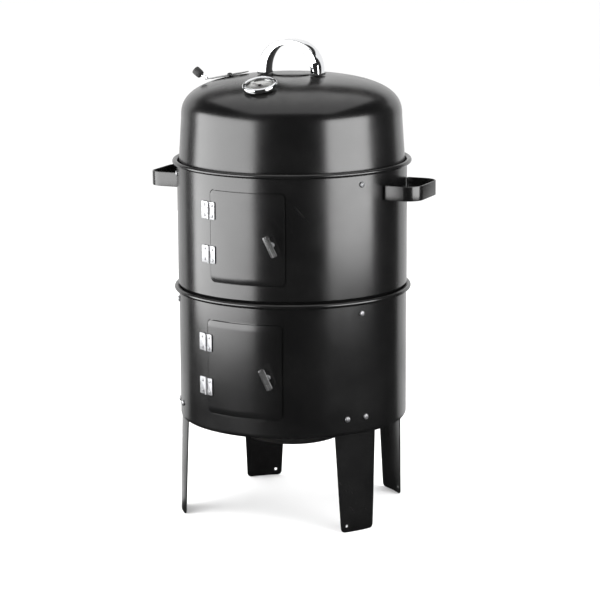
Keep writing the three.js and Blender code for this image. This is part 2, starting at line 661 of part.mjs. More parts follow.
function fireBowl() {
  const rim = LEG_TOP + GAP;
  const dish = (inset) => dishPoints(new THREE.Vector2(BOWL_MOUTH - inset, rim),
    new THREE.Vector2(122 - inset, 140 + inset / 2), new THREE.Vector2(64 - inset / 2, 127 + inset));
  const outside = [...dish(0)].reverse();
  const inside = dish(SHEET);
  return piece('fire_bowl', turned([
    [0, 126], ...outside, [BOWL_RIM, rim], [BOWL_RIM, rim + SHEET],
    [inside[0][0], rim + SHEET], ...inside.slice(1), [0, 126 + SHEET]], BOWL_FACETS), MATERIALS.insidePaint);
}

function waterPan() {
  const rim = LOWER.screwHeight - PAN_LUG_DROP + GAP;
  const floor = rim - PAN_DEPTH;
  return piece('water_pan', turned([
    [0, floor], [PAN_MOUTH - 22, floor], [PAN_MOUTH - 12, floor + 8], [PAN_MOUTH, rim],
    [PAN_RIM, rim], [PAN_RIM, rim + SHEET], [PAN_MOUTH - SHEET, rim + SHEET],
    [PAN_MOUTH - 12 - SHEET, floor + 8 + SHEET], [PAN_MOUTH - 23, floor + SHEET], [0, floor + SHEET]],
  BOWL_FACETS), MATERIALS.insidePaint);
}

// ---- Assembly ----------------------------------------------------------------------------

const legCuts = Object.values(LEG_AZIMUTHS).flatMap((degrees) => [
  legNotch(degrees * DEG),
  ...legBoltHoles(degrees * DEG),
]);

smoker.add(
  barrel(LOWER, lowerBarrelProfile(), legCuts), ...brackets(LOWER), ...legs(), fireBowl(),
  door(LOWER), ...hinges(LOWER), latch(LOWER), waterPan(), ...grates(),
  barrel(UPPER, upperBarrelProfile(), []), ...brackets(UPPER), ...sideHandles(),
  door(UPPER), ...hinges(UPPER), latch(UPPER),
  lid(), lidHandle(), thermometer(), damper(),
);

// The origin lies under the middle of the outline, front to back.
const outline = new THREE.Box3().setFromObject(smoker, true);
smoker.position.y = -(outline.min.y + outline.max.y) / 2;

export default smoker;
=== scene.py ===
"""Upright charcoal smoker: fine pieces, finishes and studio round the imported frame."""

import logging
import math
from dataclasses import dataclass, field
from enum import Enum
from typing import Iterable, Sequence

import bmesh
import bpy
from mathutils import Matrix, Vector


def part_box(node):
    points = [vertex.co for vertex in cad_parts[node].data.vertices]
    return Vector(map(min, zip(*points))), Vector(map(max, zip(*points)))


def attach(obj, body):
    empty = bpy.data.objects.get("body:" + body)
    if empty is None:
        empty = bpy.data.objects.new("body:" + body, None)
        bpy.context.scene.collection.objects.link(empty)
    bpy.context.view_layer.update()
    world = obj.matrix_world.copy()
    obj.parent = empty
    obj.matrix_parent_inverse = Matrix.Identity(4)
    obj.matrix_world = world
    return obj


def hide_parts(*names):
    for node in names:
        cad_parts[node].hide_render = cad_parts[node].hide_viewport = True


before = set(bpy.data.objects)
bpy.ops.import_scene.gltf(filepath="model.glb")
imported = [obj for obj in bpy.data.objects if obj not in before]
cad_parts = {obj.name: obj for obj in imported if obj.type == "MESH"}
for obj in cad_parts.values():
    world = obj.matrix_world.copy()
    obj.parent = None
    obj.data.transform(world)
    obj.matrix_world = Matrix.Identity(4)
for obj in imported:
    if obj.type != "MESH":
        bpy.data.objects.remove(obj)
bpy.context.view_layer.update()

log = logging.getLogger("smoker")

MM = 0.001
ROUND = 192                     # steps round the barrels and the lid
SHEET = 1.5 * MM                # steel sheet
SHARP = 28.0                    # degrees: edges steeper than this stay crisp
COOKING_PITCH = 38 * MM / 3     # between the bars of a cooking grate
COAL_PITCH = 19 * MM            # between the bars of the charcoal grate
LEG_AZIMUTHS = {"front_right": 57.0, "front_left": -57.0, "rear_left": -140.0, "rear_right": 140.0}
LEG_CLEARANCE = 0.4 * MM        # between a leg and the wall
AXIS_Y = sum(corner.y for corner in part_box("fire_bowl")) / 2
AXIS = Vector((0.0, AXIS_Y, 0.0))
UP = Vector((0.0, 0.0, 1.0))


class Body(Enum):
    """The bodies that pieces ride on."""

    BASE = "base"
    UPPER = "upper_section"
    LID = "lid"
    DAMPER = "damper"
    POINTER = "thermometer_pointer"
    PAN = "water_pan"
    COAL = "charcoal_grate"
    LOW_GRATE = "lower_grate"
    TOP_GRATE = "upper_grate"
    LOWER_DOOR = "lower_door"
    UPPER_DOOR = "upper_door"
    LOWER_LATCH = "lower_latch"
    UPPER_LATCH = "upper_latch"


# ---- Places ------------------------------------------------------------------------------


def wall_seat(azimuth: float, radius: float, height: float) -> Matrix:
    """Seat on a round wall.

    Args:
        azimuth: angle round the axis, in degrees, from the doors' side.
        radius: distance from the axis.
        height: height above the floor.

    Returns:
        Matrix with X to the right, Y up and Z outwards, seen from outside.
    """
    turn = Matrix.Rotation(math.radians(azimuth), 4, "Z")
    out = Matrix.Translation((0.0, -radius, height))
    return Matrix.Translation(AXIS) @ turn @ out @ Matrix.Rotation(math.pi / 2, 4, "X")


def box_middle(node: str) -> Vector:
    """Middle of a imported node's box."""
    low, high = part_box(node)
    return (low + high) / 2


def arc(centre: Sequence[float], size: Sequence[float], start: float, end: float,
        steps: int = 6) -> list[tuple[float, float]]:
    """Points along an upright elliptic arc.

    Args:
        centre: radius and height of its centre.
        size: its half width and half height.
        start: first angle in degrees.
        end: last angle in degrees.
        steps: number of stretches.

    Returns:
        Points as radius and height, ends included.
    """
    angles = [math.radians(start + (end - start) * i / steps) for i in range(steps + 1)]
    return [(centre[0] + size[0] * math.cos(a), centre[1] + size[1] * math.sin(a)) for a in angles]


def rise(radius: float, low: float, high: float, steps: int) -> list[tuple[float, float]]:
    """Points straight up or down a wall, ends included."""
    return [(radius, low + (high - low) * i / steps) for i in range(steps + 1)]


def rounded_path(corners: Sequence[Vector], radii: Sequence[float], steps: int = 6) -> list[Vector]:
    """A path through corners, each rounded.

    Args:
        corners: the corners, ends included.
        radii: a bend radius for each inner corner.
        steps: stretches in each bend.

    Returns:
        The path's points.
    """
    points = [corners[0].copy()]
    for before, corner, after, radius in zip(corners, corners[1:], corners[2:], radii):
        back = (before - corner).normalized()
        ahead = (after - corner).normalized()
        half = back.angle(ahead) / 2
        set_back = radius / math.tan(half)
        middle = corner + (back + ahead).normalized() * (radius / math.sin(half))
        first = (corner + back * set_back - middle).normalized()
        last = (corner + ahead * set_back - middle).normalized()
        for i in range(steps + 1):
            points.append(middle + first.slerp(last, i / steps) * radius)
    points.append(corners[-1].copy())
    return points


def path_frames(points: Sequence[Vector], side: Vector) -> list[Matrix]:
    """Frames along a path that lies in one plane.

    Args:
        points: the path.
        side: the plane's normal, which becomes each frame's X.

    Returns:
        Matrices whose Z runs along the path.
    """
    frames = []
    for i, point in enumerate(points):
        along = (points[min(i + 1, len(points) - 1)] - points[max(i - 1, 0)]).normalized()
        across = along.cross(side).normalized()
        turn = Matrix((side.normalized(), across, along)).transposed().to_4x4()
        frames.append(Matrix.Translation(point) @ turn)
    return frames


# ---- Forming -----------------------------------------------------------------------------


def chain(bm: bmesh.types.BMesh, points: Iterable[Vector], closed: bool) -> list:
    """Adds a row of vertices joined by edges.

    Args:
        bm: the mesh that takes them.
        points: their places.
        closed: whether the last joins the first.

    Returns:
        The new vertices and edges.
    """
    verts = [bm.verts.new(point) for point in points]
    pairs = list(zip(verts, verts[1:]))
    if closed:
        pairs.append((verts[-1], verts[0]))
    return verts + [bm.edges.new(pair) for pair in pairs]


def spun(profile: Sequence[tuple[float, float]], steps: int = ROUND, closed: bool = True,
         centre: Vector = AXIS, sweep_angle: float = 360.0) -> bmesh.types.BMesh:
    """Turns a profile round an upright axis.

    Args:
        profile: points as radius and height.
        steps: steps round the turn.
        closed: whether the profile closes on itself.
        centre: a point of the axis.
        sweep_angle: how far it turns, in degrees, centred on the doors' side when not full.

    Returns:
        The new mesh, with its doubles merged.
    """
    bm = bmesh.new()
    geom = chain(bm, [centre + Vector((0.0, -r, z)) for r, z in profile], closed)
    full = sweep_angle >= 360.0
    angle = math.radians(sweep_angle)
    if not full:
        turn = Matrix.Rotation(-angle / 2, 3, "Z")
        bmesh.ops.rotate(bm, cent=centre, matrix=turn, verts=bm.verts)
    bmesh.ops.spin(bm, geom=geom, cent=centre, axis=UP, angle=angle, steps=steps, use_merge=full)
    bmesh.ops.remove_doubles(bm, verts=bm.verts, dist=1e-6)
    bare = [edge for edge in bm.edges if not edge.link_faces]
    bmesh.ops.delete(bm, geom=bare, context="EDGES")
    bmesh.ops.recalc_face_normals(bm, faces=bm.faces)
    return bm


def turned_part(profile: Sequence[tuple[float, float]], seat: Matrix,
                steps: int = 32) -> bmesh.types.BMesh:
    """A small part turned about a seat's Z, from a profile that starts and ends on it."""
    bm = spun(profile, steps, False, Vector((0.0, 0.0, 0.0)))
    bmesh.ops.transform(bm, matrix=seat, verts=bm.verts)
    return bm


def swept(section: Sequence[Vector], frames: Sequence[Matrix]) -> bmesh.types.BMesh:
    """Extrudes a closed section from frame to frame and caps its ends.

    Args:
        section: the section's points in a frame's X and Y.
        frames: where the section stands in turn.

    Returns:
        The new mesh.
    """
    bm = bmesh.new()
    geom = chain(bm, [frames[0] @ point for point in section], True)
    edges = [item for item in geom if isinstance(item, bmesh.types.BMEdge)]
    bmesh.ops.edgeloop_fill(bm, edges=edges)
    for before, after in zip(frames, frames[1:]):
        grown = bmesh.ops.extrude_edge_only(bm, edges=edges)["geom"]
        moved = [item for item in grown if isinstance(item, bmesh.types.BMVert)]
        edges = [item for item in grown if isinstance(item, bmesh.types.BMEdge)]
        bmesh.ops.transform(bm, matrix=after @ before.inverted(), verts=moved)
    bmesh.ops.edgeloop_fill(bm, edges=edges)
    bmesh.ops.recalc_face_normals(bm, faces=bm.faces)
    return bm


def circle(radius: float, count: int) -> list[Vector]:
    """Points of a round section."""
    angles = [2 * math.pi * i / count for i in range(count)]
    return [Vector((radius * math.cos(a), radius * math.sin(a), 0.0)) for a in angles]


def rounded_box(half_x: float, half_y: float, corner: float, steps: int = 3) -> list[Vector]:
    """Points of a rectangular section with round corners."""
    points = []
    for quarter, (sx, sy) in enumerate([(1, 1), (-1, 1), (-1, -1), (1, -1)]):
        for i in range(steps + 1):
            angle = math.pi / 2 * (quarter + i / steps)
            points.append(Vector((sx * (half_x - corner) + corner * math.cos(angle),
                                  sy * (half_y - corner) + corner * math.sin(angle), 0.0)))
    return points


def block(low: Sequence[float], high: Sequence[float], seat: Matrix, soft: float = 0.3 * MM,
          corner: float = 0.0) -> bmesh.types.BMesh:
    """A box in a seat's axes with softened edges.

    Args:
        low: lowest corner.
        high: highest corner.
        seat: where it stands.
        soft: width of the softened edges.
        corner: radius of the corners seen along the seat's Z.

    Returns:
        The new mesh.
    """
    bm = bmesh.new()
    bmesh.ops.create_cube(bm, size=1.0)
    size = [h - l for l, h in zip(low, high)]
    middle = [(h + l) / 2 for l, h in zip(low, high)]
    bmesh.ops.scale(bm, vec=size, verts=bm.verts)
    bmesh.ops.translate(bm, vec=middle, verts=bm.verts)
    if corner:
        upright = [e for e in bm.edges if abs((e.verts[0].co - e.verts[1].co).z) > size[2] / 2]
        bmesh.ops.bevel(bm, geom=upright, offset=corner, affect="EDGES", segments=4, profile=0.5,
                        material=-1)
    soften(bm, soft)
    bmesh.ops.transform(bm, matrix=seat, verts=bm.verts)
    return bm


def soften(bm: bmesh.types.BMesh, width: float, segments: int = 2, steep: float = 50.0) -> None:
    """Bevels the steep edges of a closed mesh.

    Args:
        bm: the mesh.
        width: the bevel's width.
        segments: steps in the bevel.
        steep: angle in degrees over which an edge counts as steep.
    """
    bm.normal_update()
    edges = [e for e in bm.edges if len(e.link_faces) == 2 and e.calc_face_angle() > math.radians(steep)]
    bmesh.ops.bevel(bm, geom=edges, offset=width, affect="EDGES", segments=segments, profile=0.5,
                    material=-1, clamp_overlap=True)


def thicken(bm: bmesh.types.BMesh, thickness: float, outwards: Vector) -> None:
    """Gives a single skin its sheet thickness, inwards from its outer face.

    Args:
        bm: the skin.
        thickness: the sheet's thickness.
        outwards: a direction that the skin's outer face looks along.
    """
    bmesh.ops.recalc_face_normals(bm, faces=bm.faces)
    total = sum((f.normal * f.calc_area() for f in bm.faces), Vector())
    if total.dot(outwards) < 0:
        bmesh.ops.reverse_faces(bm, faces=bm.faces)
    bm.normal_update()
    bmesh.ops.solidify(bm, geom=list(bm.faces), thickness=thickness)
    bmesh.ops.recalc_face_normals(bm, faces=bm.faces)


def round_distance(x: float, y: float, half: Sequence[float], corner: float) -> float:
    """How far a point lies outside a round-cornered rectangle; less than zero inside."""
    dx = abs(x) - half[0] + corner
    dy = abs(y) - half[1] + corner
    return math.hypot(max(dx, 0.0), max(dy, 0.0)) + min(max(dx, dy), 0.0) - corner


def cut_window(bm: bmesh.types.BMesh, seat: Matrix, half: Sequence[float], corner: float,
               reach: Sequence[float], steps: int = 4, keep_inside: bool = False) -> None:
    """Cuts a round-cornered window through a skin, or trims the skin to that outline.

    Args:
        bm: the skin.
        seat: the window's middle, with Z through the skin.
        half: half its width and half its height.
        corner: its corner radius.
        reach: lowest and highest Z at which faces are cut.
        steps: facets in each corner.
        keep_inside: keeps what is inside the outline instead.
    """
    inverse = seat.inverted()

    def touched() -> list:
        """The part of the skin that the outline can meet."""
        found = set()
        for face in bm.faces:
            spots = [inverse @ vert.co for vert in face.verts]
            over = [min(s[i] for s in spots) < half[i] + MM and max(s[i] for s in spots) > -half[i] - MM
                    for i in range(2)]
            deep = reach[0] < sum(s.z for s in spots) / len(spots) < reach[1]
            if all(over) and deep:
                found.update([face, *face.edges, *face.verts])
        return list(found)

    for sx in (-1, 1):
        for sy in (-1, 1):
            for i in range(steps + 1):
                angle = math.pi / 2 * i / steps
                normal = Vector((sx * math.cos(angle), sy * math.sin(angle), 0.0))
                spot = Vector((sx * (half[0] - corner), sy * (half[1] - corner), 0.0)) + normal * corner
                bmesh.ops.bisect_plane(bm, geom=touched(), dist=1e-7, plane_co=seat @ spot,
                                       plane_no=seat.to_3x3() @ normal)
    waste = []
    for face in bm.faces:
        spot = inverse @ face.calc_center_median()
        inside = round_distance(spot.x, spot.y, half, corner) < 0 and reach[0] < spot.z < reach[1]
        if inside != keep_inside:
            waste.append(face)
    bmesh.ops.delete(bm, geom=waste, context="FACES")
    bmesh.ops.dissolve_degenerate(bm, dist=1e-6, edges=bm.edges)


def close_windows(bm: bmesh.types.BMesh) -> None:
    """Joins the outer and inner edges of the windows cut through a hollow wall, one by one."""
    left = {e for e in bm.edges if e.is_boundary}
    loops = []
    while left:
        group = set()
        queue = [left.pop()]
        while queue:
            edge = queue.pop()
            group.add(edge)
            near = {e for v in edge.verts for e in v.link_edges if e in left}
            left -= near
            queue.extend(near)
        loops.append(list(group))
    centres = [sum((v.co for e in loop for v in e.verts), Vector()) / (2 * len(loop)) for loop in loops]
    while loops:
        loop, centre = loops.pop(), centres.pop()
        partner = min(range(len(loops)), key=lambda i: (centres[i] - centre).length)
        bmesh.ops.bridge_loops(bm, edges=loop + loops.pop(partner))
        centres.pop(partner)
    bmesh.ops.recalc_face_normals(bm, faces=bm.faces)


def joined(*parts: bmesh.types.BMesh) -> bmesh.types.BMesh:
    """Several meshes as one."""
    whole = bmesh.new()
    for part in parts:
        mesh = bpy.data.meshes.new("part")
        part.to_mesh(mesh)
        part.free()
        whole.from_mesh(mesh)
        bpy.data.meshes.remove(mesh)
    return whole


# ---- Shared effects ----------------------------------------------------------------------


class Sockets(Enum):
    """Kinds of group socket."""

    VALUE = "NodeSocketFloat"
    VECTOR = "NodeSocketVector"


@dataclass
class Sheet:
    """A node tree that is being wired.

    Attributes:
        tree: the material's or the group's tree.
    """

    tree: bpy.types.NodeTree

    def add(self, kind: str, **settings: object) -> bpy.types.Node:
        """Adds a node; settings are its properties, or input values by socket name."""
        node = self.tree.nodes.new(kind)
        for name, value in settings.items():
            socket = name.replace("_", " ").title() if not hasattr(node, name) else None
            if socket is None:
                setattr(node, name, value)
            else:
                node.inputs[socket].default_value = value
        return node

    def link(self, source: bpy.types.NodeSocket, target: bpy.types.NodeSocket) -> None:
        """Links two sockets."""
        self.tree.links.new(source, target)

    def noise(self, vector: bpy.types.NodeSocket, scale: float, detail: float = 3.0,
              roughness: float = 0.55) -> bpy.types.NodeSocket:
        """A noise pattern's value."""
        node = self.add("ShaderNodeTexNoise", scale=scale, detail=detail, roughness=roughness)
        self.link(vector, node.inputs["Vector"])
        return node.outputs["Fac"]

    def ranged(self, value: bpy.types.NodeSocket, low: float, high: float, to_low: float,
               to_high: float) -> bpy.types.NodeSocket:
        """A value mapped smoothly from one range to another."""
        node = self.add("ShaderNodeMapRange", interpolation_type="SMOOTHSTEP")
        self.link(value, node.inputs["Value"])
        for name, number in (("From Min", low), ("From Max", high), ("To Min", to_low),
                             ("To Max", to_high)):
            node.inputs[name].default_value = number
        return node.outputs["Result"]

    def math(self, operation: str, first: bpy.types.NodeSocket, second: object) -> bpy.types.NodeSocket:
        """A sum, product or other operation of a value and a value or number."""
        node = self.add("ShaderNodeMath", operation=operation)
        self.link(first, node.inputs[0])
        if isinstance(second, bpy.types.NodeSocket):
            self.link(second, node.inputs[1])
        else:
            node.inputs[1].default_value = second
        return node.outputs[0]


class Effect(Enum):
    """The effects that finishes share, each a node group."""

    PEEL = "fine_peel"
    HANDLING = "handling_marks"
    WEAR = "edge_wear"
    DUST = "settled_dust"

    def group(self) -> bpy.types.NodeTree:
        """The effect's node group, built at its first use."""
        known = bpy.data.node_groups.get(self.value)
        return known or EFFECT_BUILDERS[self](self.value)


def new_group(name: str, inputs: dict[str, tuple[Sockets, float]], outputs: Sequence[str]) -> tuple:
    """Starts a node group.

    Args:
        name: its name.
        inputs: kind and default of each input.
        outputs: names of its values.

    Returns:
        The sheet, the inputs' node and the outputs' node.
    """
    tree = bpy.data.node_groups.new(name, "ShaderNodeTree")
    for label, (kind, default) in inputs.items():
        socket = tree.interface.new_socket(name=label, in_out="INPUT", socket_type=kind.value)
        if kind is Sockets.VALUE:
            socket.default_value = default
    for label in outputs:
        tree.interface.new_socket(name=label, in_out="OUTPUT", socket_type=Sockets.VALUE.value)
    sheet = Sheet(tree)
    return sheet, sheet.add("NodeGroupInput"), sheet.add("NodeGroupOutput")


def scaled_vector(sheet: Sheet, source: bpy.types.Node) -> bpy.types.NodeSocket:
    """A group's Vector input times its Scale input."""
    node = sheet.add("ShaderNodeVectorMath", operation="SCALE")
    sheet.link(source.outputs["Vector"], node.inputs[0])
    sheet.link(source.outputs["Scale"], node.inputs["Scale"])
    return node.outputs[0]


def build_peel(name: str) -> bpy.types.NodeTree:
    """Fine unevenness of a sprayed or moulded skin, as a height."""
    sheet, source, result = new_group(
        name, {"Vector": (Sockets.VECTOR, 0.0), "Scale": (Sockets.VALUE, 1.0)}, ["Height"])
    vector = scaled_vector(sheet, source)
    coarse = sheet.noise(vector, 260.0, 2.0)
    fine = sheet.noise(vector, 1100.0, 2.0)
    sheet.link(sheet.math("ADD", coarse, sheet.math("MULTIPLY", fine, 0.4)), result.inputs["Height"])
    return sheet.tree


def build_handling(name: str) -> bpy.types.NodeTree:
    """Faint rubbed patches and thin scuffs, as a change of roughness and as a mask."""
    sheet, source, result = new_group(
        name, {"Vector": (Sockets.VECTOR, 0.0), "Scale": (Sockets.VALUE, 1.0),
               "Amount": (Sockets.VALUE, 0.1)}, ["Change", "Scuffs"])
    vector = scaled_vector(sheet, source)
    patches = sheet.ranged(sheet.noise(vector, 9.0, 4.0), 0.35, 0.7, -1.0, 1.0)
    stretched = sheet.add("ShaderNodeMapping", vector_type="TEXTURE")
    stretched.inputs["Rotation"].default_value = (0.3, 0.9, 0.5)
    stretched.inputs["Scale"].default_value = (14.0, 1.0, 1.0)
    sheet.link(vector, stretched.inputs["Vector"])
    lines = sheet.ranged(sheet.noise(stretched.outputs[0], 210.0, 2.0), 0.66, 0.72, 0.0, 1.0)
    places = sheet.ranged(sheet.noise(vector, 6.0, 1.0), 0.56, 0.68, 0.0, 1.0)
    scuffs = sheet.math("MULTIPLY", lines, places)
    change = sheet.math("ADD", patches, scuffs)
    sheet.link(sheet.math("MULTIPLY", change, source.outputs["Amount"]), result.inputs["Change"])
    sheet.link(scuffs, result.inputs["Scuffs"])
    return sheet.tree


def build_wear(name: str) -> bpy.types.NodeTree:
    """Rubbed outer edges, broken up by a noise, as a mask."""
    sheet, source, result = new_group(
        name, {"Vector": (Sockets.VECTOR, 0.0), "Amount": (Sockets.VALUE, 0.5)}, ["Mask"])
    corner = sheet.ranged(sheet.add("ShaderNodeNewGeometry").outputs["Pointiness"], 0.54, 0.66, 0.0, 1.0)
    broken = sheet.ranged(sheet.noise(source.outputs["Vector"], 160.0, 3.0), 0.42, 0.68, 0.0, 1.0)
    mask = sheet.math("MULTIPLY", corner, broken)
    sheet.link(sheet.math("MULTIPLY", mask, source.outputs["Amount"]), result.inputs["Mask"])
    return sheet.tree


def build_dust(name: str) -> bpy.types.NodeTree:
    """Thin dust on faces that look up, as a mask."""
    sheet, source, result = new_group(
        name, {"Vector": (Sockets.VECTOR, 0.0), "Amount": (Sockets.VALUE, 0.3)}, ["Mask"])
    parts = sheet.add("ShaderNodeSeparateXYZ")
    sheet.link(sheet.add("ShaderNodeNewGeometry").outputs["Normal"], parts.inputs[0])
    level = sheet.ranged(parts.outputs["Z"], 0.6, 1.0, 0.0, 1.0)
    cloud = sheet.ranged(sheet.noise(source.outputs["Vector"], 45.0, 5.0), 0.3, 0.75, 0.2, 1.0)
    mask = sheet.math("MULTIPLY", level, cloud)
    sheet.link(sheet.math("MULTIPLY", mask, source.outputs["Amount"]), result.inputs["Mask"])
    return sheet.tree


EFFECT_BUILDERS = {Effect.PEEL: build_peel, Effect.HANDLING: build_handling,
                   Effect.WEAR: build_wear, Effect.DUST: build_dust}


# ---- Finishes ----------------------------------------------------------------------------


class Grain(Enum):
    """Direction of a metal's fine lines."""

    NONE = (1.0, 1.0, 1.0)
    LEVEL = (0.06, 0.06, 1.0)


@dataclass(frozen=True)
class Finish:
    """A surface finish.

    Attributes:
        name: the material's name.
        slot: its slot's name; not used.
        colour: main colour, linear.
        second: colour of its variation.
        worn: colour at rubbed edges and scuffs.
        roughness: main roughness.
        marks: how far handling changes the roughness.
        metallic: share of metal.
        peel: height of the fine unevenness in metres.
        peel_scale: how fine it is.
        wear: amount of edge wear.
        dust: amount of dust.
        coat: clear coat over it.
        grain: direction of fine lines.
        specular: specular level.
    """

    name: str
    slot: str
    colour: tuple[float, float, float]
    second: tuple[float, float, float]
    worn: tuple[float, float, float] = (0.05, 0.05, 0.05)
    roughness: float = 0.35
    marks: float = 0.08
    metallic: float = 0.0
    peel: float = 0.00002
    peel_scale: float = 1.0
    wear: float = 0.3
    dust: float = 0.05
    coat: float = 0.0
    grain: Grain = Grain.NONE
    specular: float = 0.5

    def effect(self, sheet: Sheet, kind: Effect, vector: bpy.types.NodeSocket,
               **values: float) -> bpy.types.Node:
        """Places a shared effect with this finish's own values."""
        node = sheet.add("ShaderNodeGroup", node_tree=kind.group())
        sheet.link(vector, node.inputs["Vector"])
        for label, value in values.items():
            node.inputs[label].default_value = value
        return node

    def material(self) -> bpy.types.Material:
        """The finish as a material, built at its first use."""
        known = bpy.data.materials.get(self.name)
        if known:
            return known
        made = bpy.data.materials.new(self.name)
        made.use_nodes = True
        sheet = Sheet(made.node_tree)
        shader = made.node_tree.nodes["Principled BSDF"]
        shader.inputs["Metallic"].default_value = self.metallic
        shader.inputs["Specular IOR Level"].default_value = self.specular
        shader.inputs["Coat Weight"].default_value = self.coat
        shader.inputs["Coat Roughness"].default_value = 0.12
        place = sheet.add("ShaderNodeMapping")
        place.inputs["Location"].default_value = -AXIS
        sheet.link(sheet.add("ShaderNodeTexCoord").outputs["Object"], place.inputs["Vector"])
        vector = place.outputs[0]

        handling = self.effect(sheet, Effect.HANDLING, vector, Scale=1.0, Amount=self.marks)
        wear = self.effect(sheet, Effect.WEAR, vector, Amount=self.wear)
        dust = self.effect(sheet, Effect.DUST, vector, Amount=self.dust)
        peel = self.effect(sheet, Effect.PEEL, vector, Scale=self.peel_scale)

        tint = sheet.ranged(sheet.noise(vector, 14.0, 5.0), 0.35, 0.7, 0.0, 1.0)
        colour = self.mixed(sheet, tint, self.colour, self.second)
        rubbed = sheet.math("MAXIMUM", wear.outputs["Mask"],
                            sheet.math("MULTIPLY", handling.outputs["Scuffs"], self.wear * 0.15))
        colour = self.mixed(sheet, rubbed, colour, self.worn)
        colour = self.mixed(sheet, dust.outputs["Mask"], colour, (0.32, 0.31, 0.29))
        sheet.link(colour, shader.inputs["Base Color"])

        rough = sheet.math("ADD", handling.outputs["Change"], self.roughness)
        rough = sheet.math("ADD", rough, sheet.math("MULTIPLY", dust.outputs["Mask"], 0.4))
        height = peel.outputs["Height"]
        if self.grain is not Grain.NONE:
            lines = sheet.add("ShaderNodeMapping")
            lines.inputs["Scale"].default_value = self.grain.value
            sheet.link(vector, lines.inputs["Vector"])
            streaks = sheet.noise(lines.outputs[0], 900.0, 3.0, 0.7)
            rough = sheet.math("ADD", rough, sheet.ranged(streaks, 0.3, 0.7, -0.06, 0.1))
            height = sheet.math("ADD", height, sheet.math("MULTIPLY", streaks, 0.8))
        sheet.link(rough, shader.inputs["Roughness"])

        bump = sheet.add("ShaderNodeBump", distance=self.peel)
        bump.inputs["Strength"].default_value = 1.0
        sheet.link(height, bump.inputs["Height"])
        sheet.link(bump.outputs["Normal"], shader.inputs["Normal"])
        return made

    @staticmethod
    def mixed(sheet: Sheet, share: bpy.types.NodeSocket, first: object,
              second: Sequence[float]) -> bpy.types.NodeSocket:
        """Mixes a colour or a colour socket with a colour."""
        node = sheet.add("ShaderNodeMix", data_type="RGBA")
        sheet.link(share, node.inputs["Factor"])
        if isinstance(first, bpy.types.NodeSocket):
            sheet.link(first, node.inputs[6])
        else:
            node.inputs[6].default_value = (*first, 1.0)
        node.inputs[7].default_value = (*second, 1.0)
        return node.outputs[2]


@dataclass(frozen=True)
class Glass:
    """Clear cover glass with faint smears."""

    name: str = "cover_glass"
    slot: str = "dial_glass"

    def material(self) -> bpy.types.Material:
        """The glass as a material, built at its first use."""
        known = bpy.data.materials.get(self.name)
        if known:
            return known
        made = bpy.data.materials.new(self.name)
        made.use_nodes = True
        sheet = Sheet(made.node_tree)
        shader = made.node_tree.nodes["Principled BSDF"]
        shader.inputs["Base Color"].default_value = (1.0, 1.0, 1.0, 1.0)
        shader.inputs["Transmission Weight"].default_value = 1.0
        shader.inputs["IOR"].default_value = 1.2
        vector = sheet.add("ShaderNodeTexCoord").outputs["Object"]
        smears = sheet.ranged(sheet.noise(vector, 60.0, 4.0), 0.4, 0.7, 0.01, 0.06)
        sheet.link(smears, shader.inputs["Roughness"])
        return made


PAINT = Finish("satin_black_paint", "black_paint", (0.0022, 0.0022, 0.0023), (0.0038, 0.0038, 0.0038),
               worn=(0.05, 0.05, 0.048), roughness=0.24, marks=0.03, wear=0.25, peel=0.000012, specular=0.65)
INSIDE = Finish("baked_black_paint", "black_enamel", (0.008, 0.008, 0.008), (0.014, 0.013, 0.012),
                roughness=0.5, marks=0.1, dust=0.12, peel=0.00003)
ENAMEL = Finish("black_enamel", "black_enamel", (0.006, 0.006, 0.007), (0.011, 0.011, 0.012),
                roughness=0.3, marks=0.08, coat=0.6, peel=0.00003, peel_scale=0.6)
ZINC = Finish("zinc_plate", "zinc_steel", (0.42, 0.42, 0.43), (0.35, 0.355, 0.365), worn=(0.5, 0.5, 0.5),
              roughness=0.54, marks=0.05, metallic=1.0, wear=0.1, peel=0.000008, grain=Grain.LEVEL)
WIRE = Finish("plated_wire", "plated_wire", (0.62, 0.62, 0.61), (0.5, 0.49, 0.47), worn=(0.3, 0.29, 0.27),
              roughness=0.24, marks=0.1, metallic=1.0, wear=0.3, peel=0.00001)
CHROME = Finish("bright_chrome", "chrome", (0.86, 0.87, 0.88), (0.8, 0.81, 0.83), worn=(0.6, 0.6, 0.6),
                roughness=0.1, marks=0.05, metallic=1.0, wear=0.1, peel=0.000003, peel_scale=0.5)
PLASTIC = Finish("moulded_black_plastic", "black_plastic", (0.012, 0.012, 0.012), (0.017, 0.017, 0.017),
                 worn=(0.07, 0.07, 0.07), roughness=0.48, marks=0.06, wear=0.4, peel=0.00003,
                 peel_scale=1.6)
GRIP = Finish("polished_black_plastic", "black_plastic", (0.02, 0.02, 0.02), (0.03, 0.03, 0.03),
              worn=(0.12, 0.12, 0.12), roughness=0.3, marks=0.06, wear=0.8, peel=0.00001, specular=1.0)
DIAL = Finish("brushed_dial", "dial_face", (0.84, 0.84, 0.82), (0.74, 0.74, 0.73), worn=(0.6, 0.6, 0.6),
              roughness=0.33, marks=0.05, metallic=0.8, wear=0.1, peel=0.00001, grain=Grain.LEVEL)
POINTER = Finish("pointer_paint", "pointer_paint", (0.012, 0.012, 0.012), (0.02, 0.02, 0.02),
                 roughness=0.45, peel=0.00001)
GLASS = Glass()


